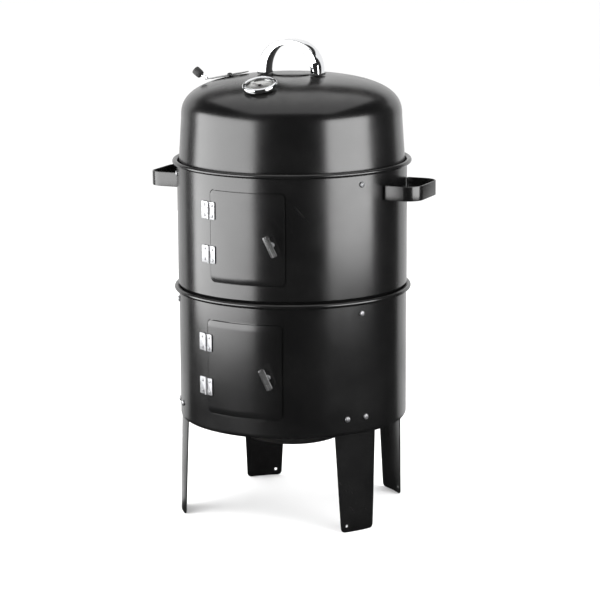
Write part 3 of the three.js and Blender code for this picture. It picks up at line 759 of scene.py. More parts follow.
def hand_over(bm: bmesh.types.BMesh, name: str, finish: object, body: Body,
              nodes: Sequence[str] = ()) -> None:
    """Turns a mesh into a dressed piece that rides on its body.

    Args:
        bm: the mesh, freed here.
        name: the piece's name.
        finish: its finish.
        body: the body that it rides on.
        nodes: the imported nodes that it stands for.
    """
    mesh = bpy.data.meshes.new(name)
    bm.to_mesh(mesh)
    bm.free()
    mesh.shade_smooth()
    mesh.set_sharp_from_angle(angle=math.radians(SHARP))
    mesh.materials.append(finish.material())
    piece = bpy.data.objects.new(name, mesh)
    bpy.context.scene.collection.objects.link(piece)
    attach(piece, body.value)
    if nodes:
        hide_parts(*nodes)
    log.info("%s: %d faces on %s", name, len(mesh.polygons), body.value)


# ---- Barrels -----------------------------------------------------------------------------


@dataclass
class Barrel:
    """One barrel section: wall with a rolled rim and a doorway.

    Attributes:
        name: lower or upper.
        body: the body that it belongs to.
        door_azimuth: middle of its doorway, in degrees.
        door_size: width and height of its door.
        lip: radius of the curled bottom edge, or none.
        foot_step: how far the bottom steps inwards, or none.
        foot_height: height of that foot.
        bead: radius of the rolled rim.
        lap: how far the frame behind the doorway reaches in and out from the door's edge.
        gap: gap round the door.
        door_corner: corner radius of the door.
    """

    name: str
    body: Body
    door_azimuth: float
    door_size: tuple[float, float]
    lip: float = 0.0
    foot_step: float = 0.0
    foot_height: float = 17 * MM
    bead: float = 4 * MM
    lap: float = 7 * MM
    gap: float = 1.7 * MM
    door_corner: float = 8 * MM
    radius: float = field(init=False)
    bottom: float = field(init=False)
    top: float = field(init=False)
    door_middle: float = field(init=False)

    def __post_init__(self) -> None:
        """Reads the radius and heights from the frame."""
        low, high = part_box(f"{self.name}_barrel")
        self.radius = high.x - 2 * self.bead
        self.bottom = low.z
        self.top = high.z
        self.door_middle = box_middle(f"{self.name}_door").z

    def rim(self) -> list[tuple[float, float]]:
        """The rolled rim, from the crease below it over to the inner wall."""
        out, top, bead = self.radius, self.top, self.bead
        crease = arc((out + MM, top - 2 * bead - MM), (MM, MM), 180, 90, 3)
        roll = arc((out + bead, top - bead), (bead, bead), -90, 90, 12)
        inside = arc((out + bead, top - bead), (bead + SHEET, bead), 100, 180, 6)
        return crease + roll + inside

    def profile(self) -> list[tuple[float, float]]:
        """The closed section of the wall."""
        out, low = self.radius, self.bottom
        crease = self.top - 2 * self.bead - 2 * MM
        inner_top = self.top - self.bead - MM
        if self.lip:
            centre = (out - self.lip, low + self.lip)
            start = arc(centre, (self.lip, self.lip), -90, 0, 8)
            inner = arc(centre, (self.lip - SHEET, self.lip - SHEET), 0, -90, 8)
            first = last = low + self.lip + MM
        else:
            foot, shoulder = out - self.foot_step, low + self.foot_height
            start = [(foot, low), (foot, shoulder - MM), (foot + 0.4 * MM, shoulder - 0.2 * MM),
                     (out - 0.8 * MM, shoulder + 0.6 * MM), (out, shoulder + 1.6 * MM)]
            inner = [(out - SHEET, shoulder + 3 * MM), (foot - SHEET, shoulder + SHEET), (foot - SHEET, low)]
            first, last = shoulder + 4 * MM, shoulder + 5 * MM
        outer_wall = rise(out, first, crease, 8)
        inner_wall = rise(out - SHEET, inner_top, last, 8)
        return start + outer_wall + self.rim() + inner_wall + inner

    def build(self) -> None:
        """Makes the barrel's wall."""
        bm = spun(self.profile())
        seat = wall_seat(self.door_azimuth, self.radius, self.door_middle)
        half = [size / 2 + self.gap for size in self.door_size]
        cut_window(bm, seat, half, self.door_corner + self.gap, (-60 * MM, 5 * MM), 5)
        close_windows(bm)
        hand_over(bm, f"{self.name}_barrel_wall", PAINT, self.body, [f"{self.name}_barrel"])
        self.build_door_stop()

    def build_door_stop(self) -> None:
        """Makes the welded frame behind the doorway that the door closes against."""
        outer = [size / 2 + self.lap for size in self.door_size]
        bm = rolled_panel(self, self.radius - SHEET - 0.05 * MM, outer, self.door_corner + self.lap)
        seat = wall_seat(self.door_azimuth, self.radius, self.door_middle)
        inner = [size / 2 - self.lap for size in self.door_size]
        cut_window(bm, seat, inner, self.door_corner - self.lap / 2, (-60 * MM, 5 * MM))
        thicken(bm, 1.2 * MM, seat.to_3x3() @ UP)
        soften(bm, 0.25 * MM)
        hand_over(bm, f"{self.name}_door_stop", PAINT, self.body)


def rolled_panel(barrel: Barrel, radius: float, half: Sequence[float], corner: float) -> bmesh.types.BMesh:
    """A single round-cornered skin rolled to a barrel's curve.

    Args:
        barrel: the barrel whose doorway it lies at.
        radius: the skin's radius.
        half: half its width and half its height.
        corner: its corner radius.

    Returns:
        The new skin.
    """
    middle = barrel.door_middle
    wide = 2 * math.degrees(math.asin((half[0] + 4 * MM) / radius))
    upright = rise(radius, middle - half[1] - 2 * MM, middle + half[1] + 2 * MM, 12)
    bm = spun(upright, 48, False, AXIS, wide)
    turn = Matrix.Rotation(math.radians(barrel.door_azimuth), 3, "Z")
    bmesh.ops.rotate(bm, cent=AXIS, matrix=turn, verts=bm.verts)
    seat = wall_seat(barrel.door_azimuth, radius, middle)
    cut_window(bm, seat, half, corner, (-40 * MM, 5 * MM), 5, keep_inside=True)
    return bm


@dataclass
class PanScrew:
    """A pan-head screw with a crossed slot.

    Attributes:
        head: radius of its head.
        height: height of its head.
        shank: radius of its shank.
        grip: length of its shank.
        slot: half length and half width of one arm of the cross.
    """

    head: float = 5 * MM
    height: float = 3 * MM
    shank: float = 2 * MM
    grip: float = 8 * MM
    slot: tuple[float, float] = (2.9 * MM, 0.55 * MM)

    def mesh(self, seat: Matrix) -> bmesh.types.BMesh:
        """The screw standing at a seat, its head's underside at zero."""
        dome = arc((0.0, 0.8 * MM), (self.head, self.height - 0.8 * MM), 0, 90, 7)
        profile = [(0.0, -self.grip), (self.shank, -self.grip), (self.shank, 0.0), (self.head, 0.0)]
        bm = turned_part(profile + dome[:-1] + [(0.0, self.height)], Matrix.Identity(4), 32)
        long, half = self.slot
        for normal in ((1, 0, 0), (0, 1, 0)):
            for offset in (-long, -half, half, long):
                crown = [f for f in bm.faces if f.calc_center_median().z > MM]
                geom = {item for f in crown for item in (f, *f.edges, *f.verts)}
                bmesh.ops.bisect_plane(bm, geom=list(geom), dist=1e-7, plane_no=normal,
                                       plane_co=Vector(normal) * offset)
        floor = [f for f in bm.faces if self.in_cross(f.calc_center_median())]
        sunk = bmesh.ops.extrude_face_region(bm, geom=floor)["geom"]
        moved = [item for item in sunk if isinstance(item, bmesh.types.BMVert)]
        bmesh.ops.delete(bm, geom=floor, context="FACES")
        for vert in moved:
            vert.co.z = min(vert.co.z - 1.1 * MM, self.height - 1.3 * MM)
        bmesh.ops.recalc_face_normals(bm, faces=bm.faces)
        bmesh.ops.transform(bm, matrix=seat, verts=bm.verts)
        return bm

    def in_cross(self, spot: Vector) -> bool:
        """Whether a point of the head lies over the crossed slot."""
        long, half = self.slot
        arms = (abs(spot.x) < long and abs(spot.y) < half) or (abs(spot.y) < long and abs(spot.x) < half)
        return arms and spot.z > MM

    def build(self, node: str, azimuth: float, radius: float, body: Body) -> None:
        """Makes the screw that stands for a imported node.

        Args:
            node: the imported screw.
            azimuth: where it stands on its wall, in degrees.
            radius: the wall's radius.
            body: the body that it rides on.
        """
        seat = wall_seat(azimuth, radius + 0.3 * MM, box_middle(node).z)
        spin = Matrix.Rotation(math.radians(azimuth * 3 + 20), 4, "Z")
        hand_over(self.mesh(seat @ spin), f"{node}_fine", ZINC, body, [node])


def azimuth_of(node: str) -> float:
    """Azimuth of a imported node's middle, in degrees from the doors' side."""
    middle = box_middle(node) - AXIS
    return math.degrees(math.atan2(middle.x, -middle.y))


def build_fixings(barrel: Barrel, nodes: Iterable[str]) -> None:
    """Makes the screws of one barrel."""
    for node in nodes:
        PanScrew().build(node, azimuth_of(node), barrel.radius, barrel.body)


# ---- Doors -------------------------------------------------------------------------------


@dataclass
class Door:
    """A rolled door with its hinges and its latch.

    Attributes:
        barrel: the barrel that it closes.
        body: the door's body.
        latch_body: the latch's body.
        standoff: its inner face beyond the wall.
        latch_turn: azimuth of the latch from the door's middle, in degrees.
        latch_tilt: direction of the grip from level, in degrees.
    """

    barrel: Barrel
    body: Body
    latch_body: Body
    standoff: float = 0.5 * MM
    latch_turn: float = 13.5
    latch_tilt: float = -65.0

    def build_panel(self) -> None:
        """Makes the rolled panel."""
        outer = self.barrel.radius + self.standoff + SHEET
        half = [size / 2 for size in self.barrel.door_size]
        bm = rolled_panel(self.barrel, outer, half, self.barrel.door_corner)
        seat = wall_seat(self.barrel.door_azimuth, outer, self.barrel.door_middle)
        thicken(bm, SHEET, seat.to_3x3() @ UP)
        soften(bm, 0.45 * MM)
        hand_over(bm, f"{self.barrel.name}_door_panel", PAINT, self.body, [f"{self.barrel.name}_door"])

    def build(self) -> None:
        """Makes the panel, the hinges and the latch."""
        self.build_panel()
        for i in (1, 2):
            Hinge(self, i).build()
        Latch(self).build()


@dataclass
class Hinge:
    """A two-leaf hinge with its rivets.

    Attributes:
        door: the door that it carries.
        number: its number from the top.
        height: its height.
        axis_out: its axis beyond the wall.
        axis_aside: its axis beside the door's edge.
        knuckle: radius of its knuckles.
        middle: length of the fixed leaf's knuckle.
        leaf: thickness of a leaf.
        fixed_width: the fixed leaf's reach from the axis.
        door_width: the door leaf's reach from the axis.
    """

    door: Door
    number: int
    height: float = 30 * MM
    axis_out: float = 3.2 * MM
    axis_aside: float = 3.4 * MM
    knuckle: float = 2.6 * MM
    middle: float = 10 * MM
    leaf: float = 1.3 * MM
    fixed_width: float = 18.5 * MM
    door_width: float = 14.5 * MM

    def seat(self) -> Matrix:
        """Where the hinge's axis meets the wall."""
        barrel = self.door.barrel
        skin = barrel.radius + self.door.standoff + SHEET
        aside = math.asin(barrel.door_size[0] / 2 / skin) + self.axis_aside / skin
        node = f"{barrel.name}_hinge_fixed_leaf_{self.number}"
        azimuth = barrel.door_azimuth - math.degrees(aside)
        return wall_seat(azimuth, barrel.radius, box_middle(node).z)

    def barrel_part(self, radius: float, low: float, high: float) -> bmesh.types.BMesh:
        """An upright round part on the hinge's axis with softened ends."""
        soft = min(0.4 * MM, radius / 3)
        profile = [(0.0, low), (radius - soft, low), (radius, low + soft), (radius, high - soft),
                   (radius - soft, high), (0.0, high)]
        place = Matrix.Translation((0.0, 0.0, self.axis_out)) @ Matrix.Rotation(-math.pi / 2, 4, "X")
        return turned_part(profile, self.seat() @ place, 24)

    def rivets(self, x: float, face: float) -> list[bmesh.types.BMesh]:
        """Two domed rivets on a leaf's face."""
        head = [(0.0, -0.6 * MM), (2.4 * MM, -0.6 * MM)] + arc((0.0, 0.0), (2.4 * MM, 1.4 * MM), 0, 90, 5)
        spots = [(x, side * 0.3 * self.height) for side in (-1, 1)]
        return [turned_part(head, self.seat() @ Matrix.Translation((px, py, face)), 20) for px, py in spots]

    def build(self) -> None:
        """Makes both leaves."""
        seat, half, mid = self.seat(), self.height / 2, self.middle / 2
        name, number = self.door.barrel.name, self.number
        low, edge = 0.5 * MM, self.knuckle + 0.8 * MM
        fixed = joined(
            block((-self.fixed_width, -half, low), (-edge, half, low + self.leaf), seat, 0.2 * MM, 1.6 * MM),
            block((-edge - MM, -mid, low), (-0.5 * MM, mid, low + self.leaf), seat, 0.15 * MM),
            self.barrel_part(self.knuckle, -mid, mid),
            self.barrel_part(1.1 * MM, -half - 0.4 * MM, half + 0.4 * MM),
            *self.rivets(-(self.fixed_width + edge) / 2, low + self.leaf))
        hand_over(fixed, f"{name}_hinge_{number}_fixed", ZINC, self.door.barrel.body,
                  [f"{name}_hinge_fixed_leaf_{number}"])
        face = self.door.standoff + SHEET + 0.3 * MM
        plate = (edge, -half, face), (self.door_width, half, face + self.leaf)
        parts = [block(*plate, seat, 0.2 * MM, 1.6 * MM)]
        for start, end in ((-half, -mid - 0.4 * MM), (mid + 0.4 * MM, half)):
            parts.append(block((0.5 * MM, start, face), (edge + MM, end, face + self.leaf), seat, 0.15 * MM))
            parts.append(self.barrel_part(self.knuckle, start, end))
        parts += self.rivets((self.door_width + edge) / 2, face + self.leaf)
        hand_over(joined(*parts), f"{name}_hinge_{number}_moving", ZINC, self.door.body,
                  [f"{name}_hinge_door_leaf_{number}"])


@dataclass
class Latch:
    """A turn latch: a fluted grip across a spindle, with a tongue behind the door.

    Attributes:
        door: the door that it locks.
        grip_radius: radius over the grip's ribs.
        grip_length: length of the grip.
        standoff: height of the grip's middle above the wall.
        flutes: number of its flutes.
        spindle: radius of its spindle.
        tongue: length, width and depth behind the wall of its tongue.
    """

    door: Door
    grip_radius: float = 5.5 * MM
    grip_length: float = 38 * MM
    standoff: float = 20 * MM
    flutes: int = 8
    spindle: float = 3 * MM
    tongue: tuple[float, float, float] = (23 * MM, 8 * MM, 5.8 * MM)

    def grip(self, seat: Matrix) -> bmesh.types.BMesh:
        """The fluted grip along the seat's X."""
        count = self.flutes * 6
        section = []
        for i, point in enumerate(circle(self.grip_radius, count)):
            share = 0.5 - 0.5 * math.cos(2 * math.pi * i / 6)
            section.append(point * (1.0 - 0.2 * (1.0 - share) ** 2))
        lengths = [(-0.5, 0.72), (-0.49, 0.86), (-0.465, 0.96), (-0.43, 1.0), (0.43, 1.0),
                   (0.465, 0.96), (0.49, 0.86), (0.5, 0.72)]
        along = seat @ Matrix.Translation((0, 0, self.standoff)) @ Matrix.Rotation(math.pi / 2, 4, "Y")
        frames = [along @ Matrix.Translation((0, 0, share * self.grip_length))
                  @ Matrix.Diagonal((size, size, 1.0, 1.0)) for share, size in lengths]
        return swept(section, frames)

    def build(self) -> None:
        """Makes the grip and the spindle with its tongue."""
        barrel = self.door.barrel
        node = f"{barrel.name}_latch_grip"
        seat = wall_seat(barrel.door_azimuth + self.door.latch_turn, barrel.radius, box_middle(node).z)
        seat = seat @ Matrix.Rotation(math.radians(self.door.latch_tilt), 4, "Z")
        hand_over(self.grip(seat), f"{barrel.name}_latch_handgrip", GRIP, self.door.latch_body, [node])
        length, width, depth = self.tongue
        collar = self.door.standoff + SHEET + 0.4 * MM
        end = -depth - SHEET - 1.5 * MM
        rod = self.spindle
        profile = [(0.0, end), (rod - 0.5 * MM, end), (rod, end + 0.5 * MM), (rod, collar),
                   (rod + 2 * MM, collar), (rod + 2 * MM, collar + MM), (rod + 1.5 * MM, collar + 1.5 * MM),
                   (rod, collar + 1.5 * MM), (rod, self.standoff - self.grip_radius + 0.4 * MM),
                   (0.0, self.standoff - self.grip_radius + 0.4 * MM)]
        tongue = block((-rod - 2 * MM, -width / 2, -depth - SHEET), (length, width / 2, -depth), seat,
                       0.25 * MM, 3 * MM)
        hand_over(joined(turned_part(profile, seat, 32), tongue), f"{barrel.name}_latch_shaft", ZINC,
                  self.door.latch_body, [f"{barrel.name}_latch_spindle"])


# ---- Legs and handles --------------------------------------------------------------------


@dataclass
class Leg:
    """A rolled sheet leg with its shelf.

    Attributes:
        node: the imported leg.
        azimuth: where it stands, in degrees.
        radius: its outer face at the barrel.
        top: height of its top.
        straight: height from which it is upright.
        splay: how far its foot stands out.
        widths: its width at the foot and at the top.
        corner: its cut corners at the foot.
        hole: radius and place of the small hole by the foot.
        tab: half width and depth of its shelf.
    """

    node: str
    azimuth: float
    radius: float
    top: float
    straight: float
    splay: float = 4 * MM
    widths: tuple[float, float] = (65 * MM, 88 * MM)
    corner: float = 6 * MM
    hole: tuple[float, float, float] = (2.5 * MM, -22 * MM, 11 * MM)
    tab: tuple[float, float] = (15 * MM, 13 * MM)

    def outline(self) -> list[tuple[float, float]]:
        """Corners seen from outside, anticlockwise."""
        foot, top, cut = self.widths[0] / 2, self.widths[1] / 2, self.corner
        return [(cut - foot, 0.0), (foot - cut, 0.0), (foot - 0.3 * cut, 0.3 * cut), (foot + 0.1 * cut, cut),
                (top, self.top), (-top, self.top), (-foot - 0.1 * cut, cut), (0.3 * cut - foot, 0.3 * cut)]

    def build(self) -> None:
        """Makes the leg."""
        foot, wide = self.radius + self.splay, self.widths[1] / 2 + 5 * MM
        profile = [(foot + (self.radius - foot) * i / 6, self.straight * i / 6) for i in range(7)]
        profile.append((self.radius, self.top))
        bm = spun(profile, 24, False, AXIS, 2 * math.degrees(math.asin(wide / self.radius)))
        turn = Matrix.Rotation(math.radians(self.azimuth), 3, "Z")
        bmesh.ops.rotate(bm, cent=AXIS, matrix=turn, verts=bm.verts)
        seat = wall_seat(self.azimuth, self.radius, 0.0)
        corners = self.outline()
        for (ax, ay), (bx, by) in zip(corners, corners[1:] + corners[:1]):
            geom = bm.verts[:] + bm.edges[:] + bm.faces[:]
            normal = seat.to_3x3() @ Vector((by - ay, ax - bx, 0.0))
            bmesh.ops.bisect_plane(bm, geom=geom, dist=1e-7, plane_co=seat @ Vector((ax, ay, 0.0)),
                                   plane_no=normal, clear_outer=True)
        radius, x, y = self.hole
        cut_window(bm, seat @ Matrix.Translation((x, y, 0.0)), (radius, radius), radius,
                   (-30 * MM, 30 * MM))
        thicken(bm, SHEET, seat.to_3x3() @ UP)
        soften(bm, 0.3 * MM)
        half, deep = self.tab
        shelf_seat = wall_seat(self.azimuth, self.radius - MM, 0.0)
        shelf = block((-half, self.top - SHEET, -deep), (half, self.top, -SHEET / 2), shelf_seat, 0.3 * MM)
        hand_over(joined(bm, shelf), f"{self.node}_sheet", PAINT, Body.BASE, [self.node])


@dataclass
class SideHandle:
    """A bent strap handle.

    Attributes:
        side: left or right.
        radius: the barrel's radius.
        tall: the strap's height.
        half: half its span.
        reach: how far it stands out.
        bend: radius of its outer bends.
        strap: thickness of the strap.
        tab: length of its tabs.
    """

    side: str
    radius: float
    tall: float = 25 * MM
    half: float = 55 * MM
    reach: float = 55 * MM
    bend: float = 27 * MM
    strap: float = 2.5 * MM
    tab: float = 12 * MM

    def build(self) -> None:
        """Makes the strap."""
        node = f"side_handle_{self.side}"
        azimuth = 90.0 if self.side == "right" else -90.0
        seat = wall_seat(azimuth, self.radius, box_middle(node).z)
        mid = self.strap / 2
        sink = self.radius - math.sqrt(self.radius ** 2 - self.half ** 2) - 0.4 * MM
        end, arm = self.half - self.tab, self.half - mid
        half_path = [(end, 4 * MM - sink + mid), (arm, mid - sink), (arm, self.reach - mid)]
        corners = [Vector((x, 0.0, z)) for x, z in half_path]
        corners += [Vector((-c.x, 0.0, c.z)) for c in reversed(corners)]
        radii = [2.2 * MM, self.bend - mid, self.bend - mid, 2.2 * MM]
        frames = path_frames(rounded_path(corners, radii, 10), Vector((0.0, 1.0, 0.0)))
        section = rounded_box(self.tall / 2, mid, 0.6 * MM)
        bm = swept(section, [seat @ place for place in frames])
        hand_over(bm, f"{node}_strap", PAINT, Body.UPPER, [node])


# ---- Lid ---------------------------------------------------------------------------------


@dataclass
class Lid:
    """The domed lid with its boss, its handle, thermometer and damper.

    Attributes:
        foot_radius: outer radius at its bottom edge.
        dome_radius: outer radius where the dome starts.
        dome_bottom: height where the dome starts.
        dome_height: rise of the dome.
        power: exponent of the dome's section.
        boss: radius and height of the pressed boss.
        vents: radius of the vent holes, and of the circle they lie on.
    """

    foot_radius: float = 198.2 * MM
    dome_radius: float = 192.5 * MM
    dome_bottom: float = 700 * MM
    dome_height: float = 73 * MM
    power: float = 2.7
    boss: tuple[float, float] = (34 * MM, 2 * MM)
    vents: tuple[float, float] = (7 * MM, 21 * MM)

    def dome(self, inset: float) -> list[tuple[float, float]]:
        """Dome points from its wall to the boss."""
        share, points = 2 / self.power, []
        for i in range(41):
            angle = math.radians(84.0) * i / 40
            points.append(((self.dome_radius - inset) * math.cos(angle) ** share,
                           self.dome_bottom + (self.dome_height - inset) * math.sin(angle) ** share))
        return [point for point in points if point[0] > self.boss[0] + 4 * MM]

    def height_at(self, radius: float) -> float:
        """Height of the outer surface at a distance from the axis."""
        share = min(radius / self.dome_radius, 1.0) ** self.power
        return self.dome_bottom + self.dome_height * (1 - share) ** (1 / self.power)

    def seat(self, azimuth: float, place: float, tilt: float, lift: float) -> Matrix:
        """Seat on the dome.

        Args:
            azimuth: angle round the axis, in degrees.
            place: distance from the axis.
            tilt: slope in degrees.
            lift: distance off the surface.

        Returns:
            Matrix with Z along the surface's normal and -Y down the slope.
        """
        turn = Matrix.Rotation(math.radians(azimuth), 4, "Z")
        spot = Matrix.Translation((0.0, -place, self.height_at(place)))
        lean = Matrix.Rotation(math.radians(tilt), 4, "X")
        return Matrix.Translation(AXIS) @ turn @ spot @ lean @ Matrix.Translation((0.0, 0.0, lift))

    def profile(self) -> list[tuple[float, float]]:
        """The closed section of the lid, from the bottom edge over the top and back inside."""
        foot, low = self.foot_radius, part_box("lid")[0].z
        wide, tall = self.boss
        crown = self.dome_bottom + self.dome_height
        taper = [(foot + (self.dome_radius - foot) * i / 6, low + (self.dome_bottom - low) * i / 6)
                 for i in range(6)]
        inner = [(r - SHEET, z) for r, z in reversed(taper)]
        step = [(wide + 2.4 * MM, crown - 0.4 * MM), (wide + 1.2 * MM, crown + 0.1 * MM),
                (wide + 0.4 * MM, crown + 0.75 * tall), (wide - 0.8 * MM, crown + tall)]
        under = [(wide - 2 * MM, crown + tall - SHEET), (wide + MM, crown - SHEET)]
        flat = [(0.0, crown + tall), (0.0, crown + tall - SHEET)]
        hem = [(foot - 0.4 * SHEET, low), (foot, low + 0.4 * SHEET)]
        return (hem + taper[1:] + self.dome(0.0) + step + flat + under
                + list(reversed(self.dome(SHEET))) + inner[:-1] + [(foot - SHEET, low)])

    def build(self) -> None:
        """Makes the lid's skin."""
        bm = spun(self.profile())
        damper_seat = self.seat(-90.0, Damper.place, Damper.tilt, 0.0)
        radius, ring = self.vents
        for degrees in Damper.vent_angles:
            angle = math.radians(degrees)
            spot = Matrix.Translation((ring * math.cos(angle), ring * math.sin(angle), 0.0))
            cut_window(bm, damper_seat @ spot, (radius, radius), radius, (-6 * MM, 4 * MM), 6)
        close_windows(bm)
        hand_over(bm, "lid_skin", PAINT, Body.LID, ["lid"])


@dataclass
class LidHandle:
    """The arched handle: a bright channel with a dark insert and dark feet.

    Attributes:
        span: half its outer span.
        rise: its outer rise.
        foot: thickness at its feet.
        crest: thickness at its top.
        width: its width.
        flank: thickness of the channel's flanks.
        pad: height of its feet.
        steps: steps along the arch.
    """

    span: float = 57.5 * MM
    rise: float = 57 * MM
    foot: float = 15 * MM
    crest: float = 7.5 * MM
    width: float = 29 * MM
    flank: float = 2.4 * MM
    pad: float = 3.2 * MM
    steps: int = 56

    @staticmethod
    def arch(spread: float, rise: float, angle: float) -> Vector:
        """A point of a flattened ellipse in the plane of the arch."""
        cos, sin = math.cos(angle), math.sin(angle)
        return Vector((math.copysign(spread * abs(cos) ** 0.9, cos), 0.0, rise * max(sin, 0.0) ** 0.9))

    def frames(self, base: float) -> list[Matrix]:
        """Frames along the arch: X from its inner to its outer face, Y across, Z along it."""
        frames = []
        for i in range(self.steps + 1):
            angle = math.pi * (1 - math.cos(math.pi * i / self.steps)) / 2
            outer = self.arch(self.span, self.rise, angle)
            inner = self.arch(self.span - self.foot, self.rise - self.crest, angle)
            depth = outer - inner
            along = Vector((0.0, 1.0, 0.0)).cross(depth).normalized()
            place = Matrix((depth, Vector((0.0, 1.0, 0.0)), along)).transposed().to_4x4()
            frames.append(Matrix.Translation(AXIS + UP * base + inner) @ place)
        return frames

    def build(self) -> None:
        """Makes the channel, the insert and the feet."""
        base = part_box("lid_handle_shell")[0].z
        frames = self.frames(base)
        half, flank = self.width / 2, self.flank
        outer = [(0.0, -half + 0.4 * MM), (0.03, -half), (0.84, -half), (0.93, -half + 0.7 * MM),
                 (0.985, -half + 1.9 * MM), (1.0, -half + 4 * MM), (1.0, half - 4 * MM),
                 (0.985, half - 1.9 * MM), (0.93, half - 0.7 * MM), (0.84, half), (0.03, half),
                 (0.0, half - 0.4 * MM)]
        inner = [(0.0, half - flank), (0.8, half - flank), (0.8, -half + flank), (0.0, -half + flank)]
        channel = swept([Vector((x, y, 0.0)) for x, y in outer + inner], frames)
        hand_over(channel, "lid_handle_channel", CHROME, Body.LID, ["lid_handle_shell"])

        rim = half - flank - 0.2 * MM
        grip = [(0.78, rim), (0.78, -rim), (0.06, -rim), (0.0, -rim + 1.2 * MM), (-0.03, -rim / 2),
                (-0.04, 0.0), (-0.03, rim / 2), (0.0, rim - 1.2 * MM), (0.06, rim)]
        insert = swept([Vector((x, y, 0.0)) for x, y in grip], frames)
        feet = []
        for side in (-1, 1):
            middle = side * (self.span - self.foot / 2)
            seat = Matrix.Translation(AXIS + UP * (base - 0.2 * MM) + Vector((middle, 0.0, 0.0)))
            reach = self.foot / 2 + MM
            low, high = (-reach, -half - MM, -self.pad), (reach, half + MM, 0.0)
            feet.append(block(low, high, seat, 0.5 * MM, 2 * MM))
        hand_over(joined(insert, *feet), "lid_handle_grip", PLASTIC, Body.LID, ["lid_handle_insert"])


@dataclass
class Thermometer:
    """The dial thermometer on the lid.

    Attributes:
        lid: the lid that carries it.
        place: distance from the axis.
        tilt: slope of the lid there, in degrees.
        lift: its underside off the lid.
        radius: outer radius of its case.
        face: radius of its dial.
        ticks: number of marks round the dial.
        rest: direction of the pointer at rest, in degrees.
    """

    lid: Lid
    place: float = 130 * MM
    tilt: float = 17.5
    lift: float = 1.8 * MM
    radius: float = 30 * MM
    face: float = 25.5 * MM
    ticks: int = 41
    rest: float = 160.0

    def build(self) -> None:
        """Makes the case, dial, marks, pointer and glass."""
        seat = self.lid.seat(0.0, self.place, self.tilt, self.lift)
        out, well = self.radius, self.radius - 4 * MM
        case = [(0.0, -58 * MM), (1.5 * MM, -58 * MM), (3 * MM, -56 * MM), (3 * MM, -0.4 * MM),
                (out - 4 * MM, 0.0), (out - 1.6 * MM, 0.5 * MM), (out - 0.3 * MM, 1.6 * MM), (out, 3 * MM),
                (out, 5.6 * MM)]
        case += arc((out - 3.4 * MM, 5.6 * MM), (3.4 * MM, 3.4 * MM), 12, 150, 10)
        case += [(well, 6.9 * MM), (well, 2 * MM), (0.0, 2 * MM)]
        hand_over(turned_part(case, seat, 96), "thermometer_bezel", CHROME, Body.LID, ["thermometer_case"])

        face = [(0.0, 2.4 * MM), (self.face, 2.4 * MM), (self.face, 2.9 * MM), (self.face - MM, 3.2 * MM),
                (self.face * 0.62, 3.2 * MM), (self.face * 0.6, 3.0 * MM), (0.0, 3.0 * MM)]
        hand_over(turned_part(face, seat, 96), "thermometer_face", DIAL, Body.LID, ["thermometer_dial"])
        hand_over(joined(*self.marks(seat)), "thermometer_marks", POINTER, Body.LID)

        aim = seat @ Matrix.Rotation(math.radians(self.rest), 4, "Z")
        needle = block((-7 * MM, -0.8 * MM, 4.1 * MM), (0.0, 0.8 * MM, 4.7 * MM), aim, 0.15 * MM)
        tip = block((-0.5, -0.5, -0.5), (0.5, 0.5, 0.5), Matrix.Identity(4), 0.0001)
        for vert in tip.verts:
            vert.co.y *= 0.25 if vert.co.x > 0 else 1.0
        shape = Matrix.Translation((9.5 * MM, 0.0, 4.4 * MM))
        shape = shape @ Matrix.Diagonal((19 * MM, 1.6 * MM, 0.6 * MM, 1.0))
        bmesh.ops.transform(tip, matrix=aim @ shape, verts=tip.verts)
        hub = [(0.0, 3.6 * MM), (2.4 * MM, 3.6 * MM), (2.6 * MM, 4.6 * MM), (1.6 * MM, 5.2 * MM),
               (0.0, 5.3 * MM)]
        hand_over(joined(needle, tip, turned_part(hub, aim, 32)), "thermometer_pointer_arm", POINTER,
                  Body.POINTER, ["thermometer_needle"])
        lens = [(0.0, 6.2 * MM), (self.face, 6.2 * MM), (self.face, 6.9 * MM)]
        lens += arc((0.0, 6.9 * MM), (self.face, 0.9 * MM), 10, 90, 8)
        hand_over(turned_part(lens, seat, 96), "thermometer_lens", GLASS, Body.LID, ["thermometer_glass"])

    def marks(self, seat: Matrix) -> list[bmesh.types.BMesh]:
        """Raised marks over three quarters of the dial, every fifth one longer."""
        marks = []
        for i in range(self.ticks):
            angle = math.radians(225.0 - 270.0 * i / (self.ticks - 1))
            length, half = (5 * MM, 0.4 * MM) if i % 5 == 0 else (2.6 * MM, 0.22 * MM)
            turn = seat @ Matrix.Rotation(angle, 4, "Z")
            end = self.face - 2 * MM
            marks.append(block((end - length, -half, 3.1 * MM), (end, half, 3.3 * MM), turn, 0.03 * MM))
        return marks


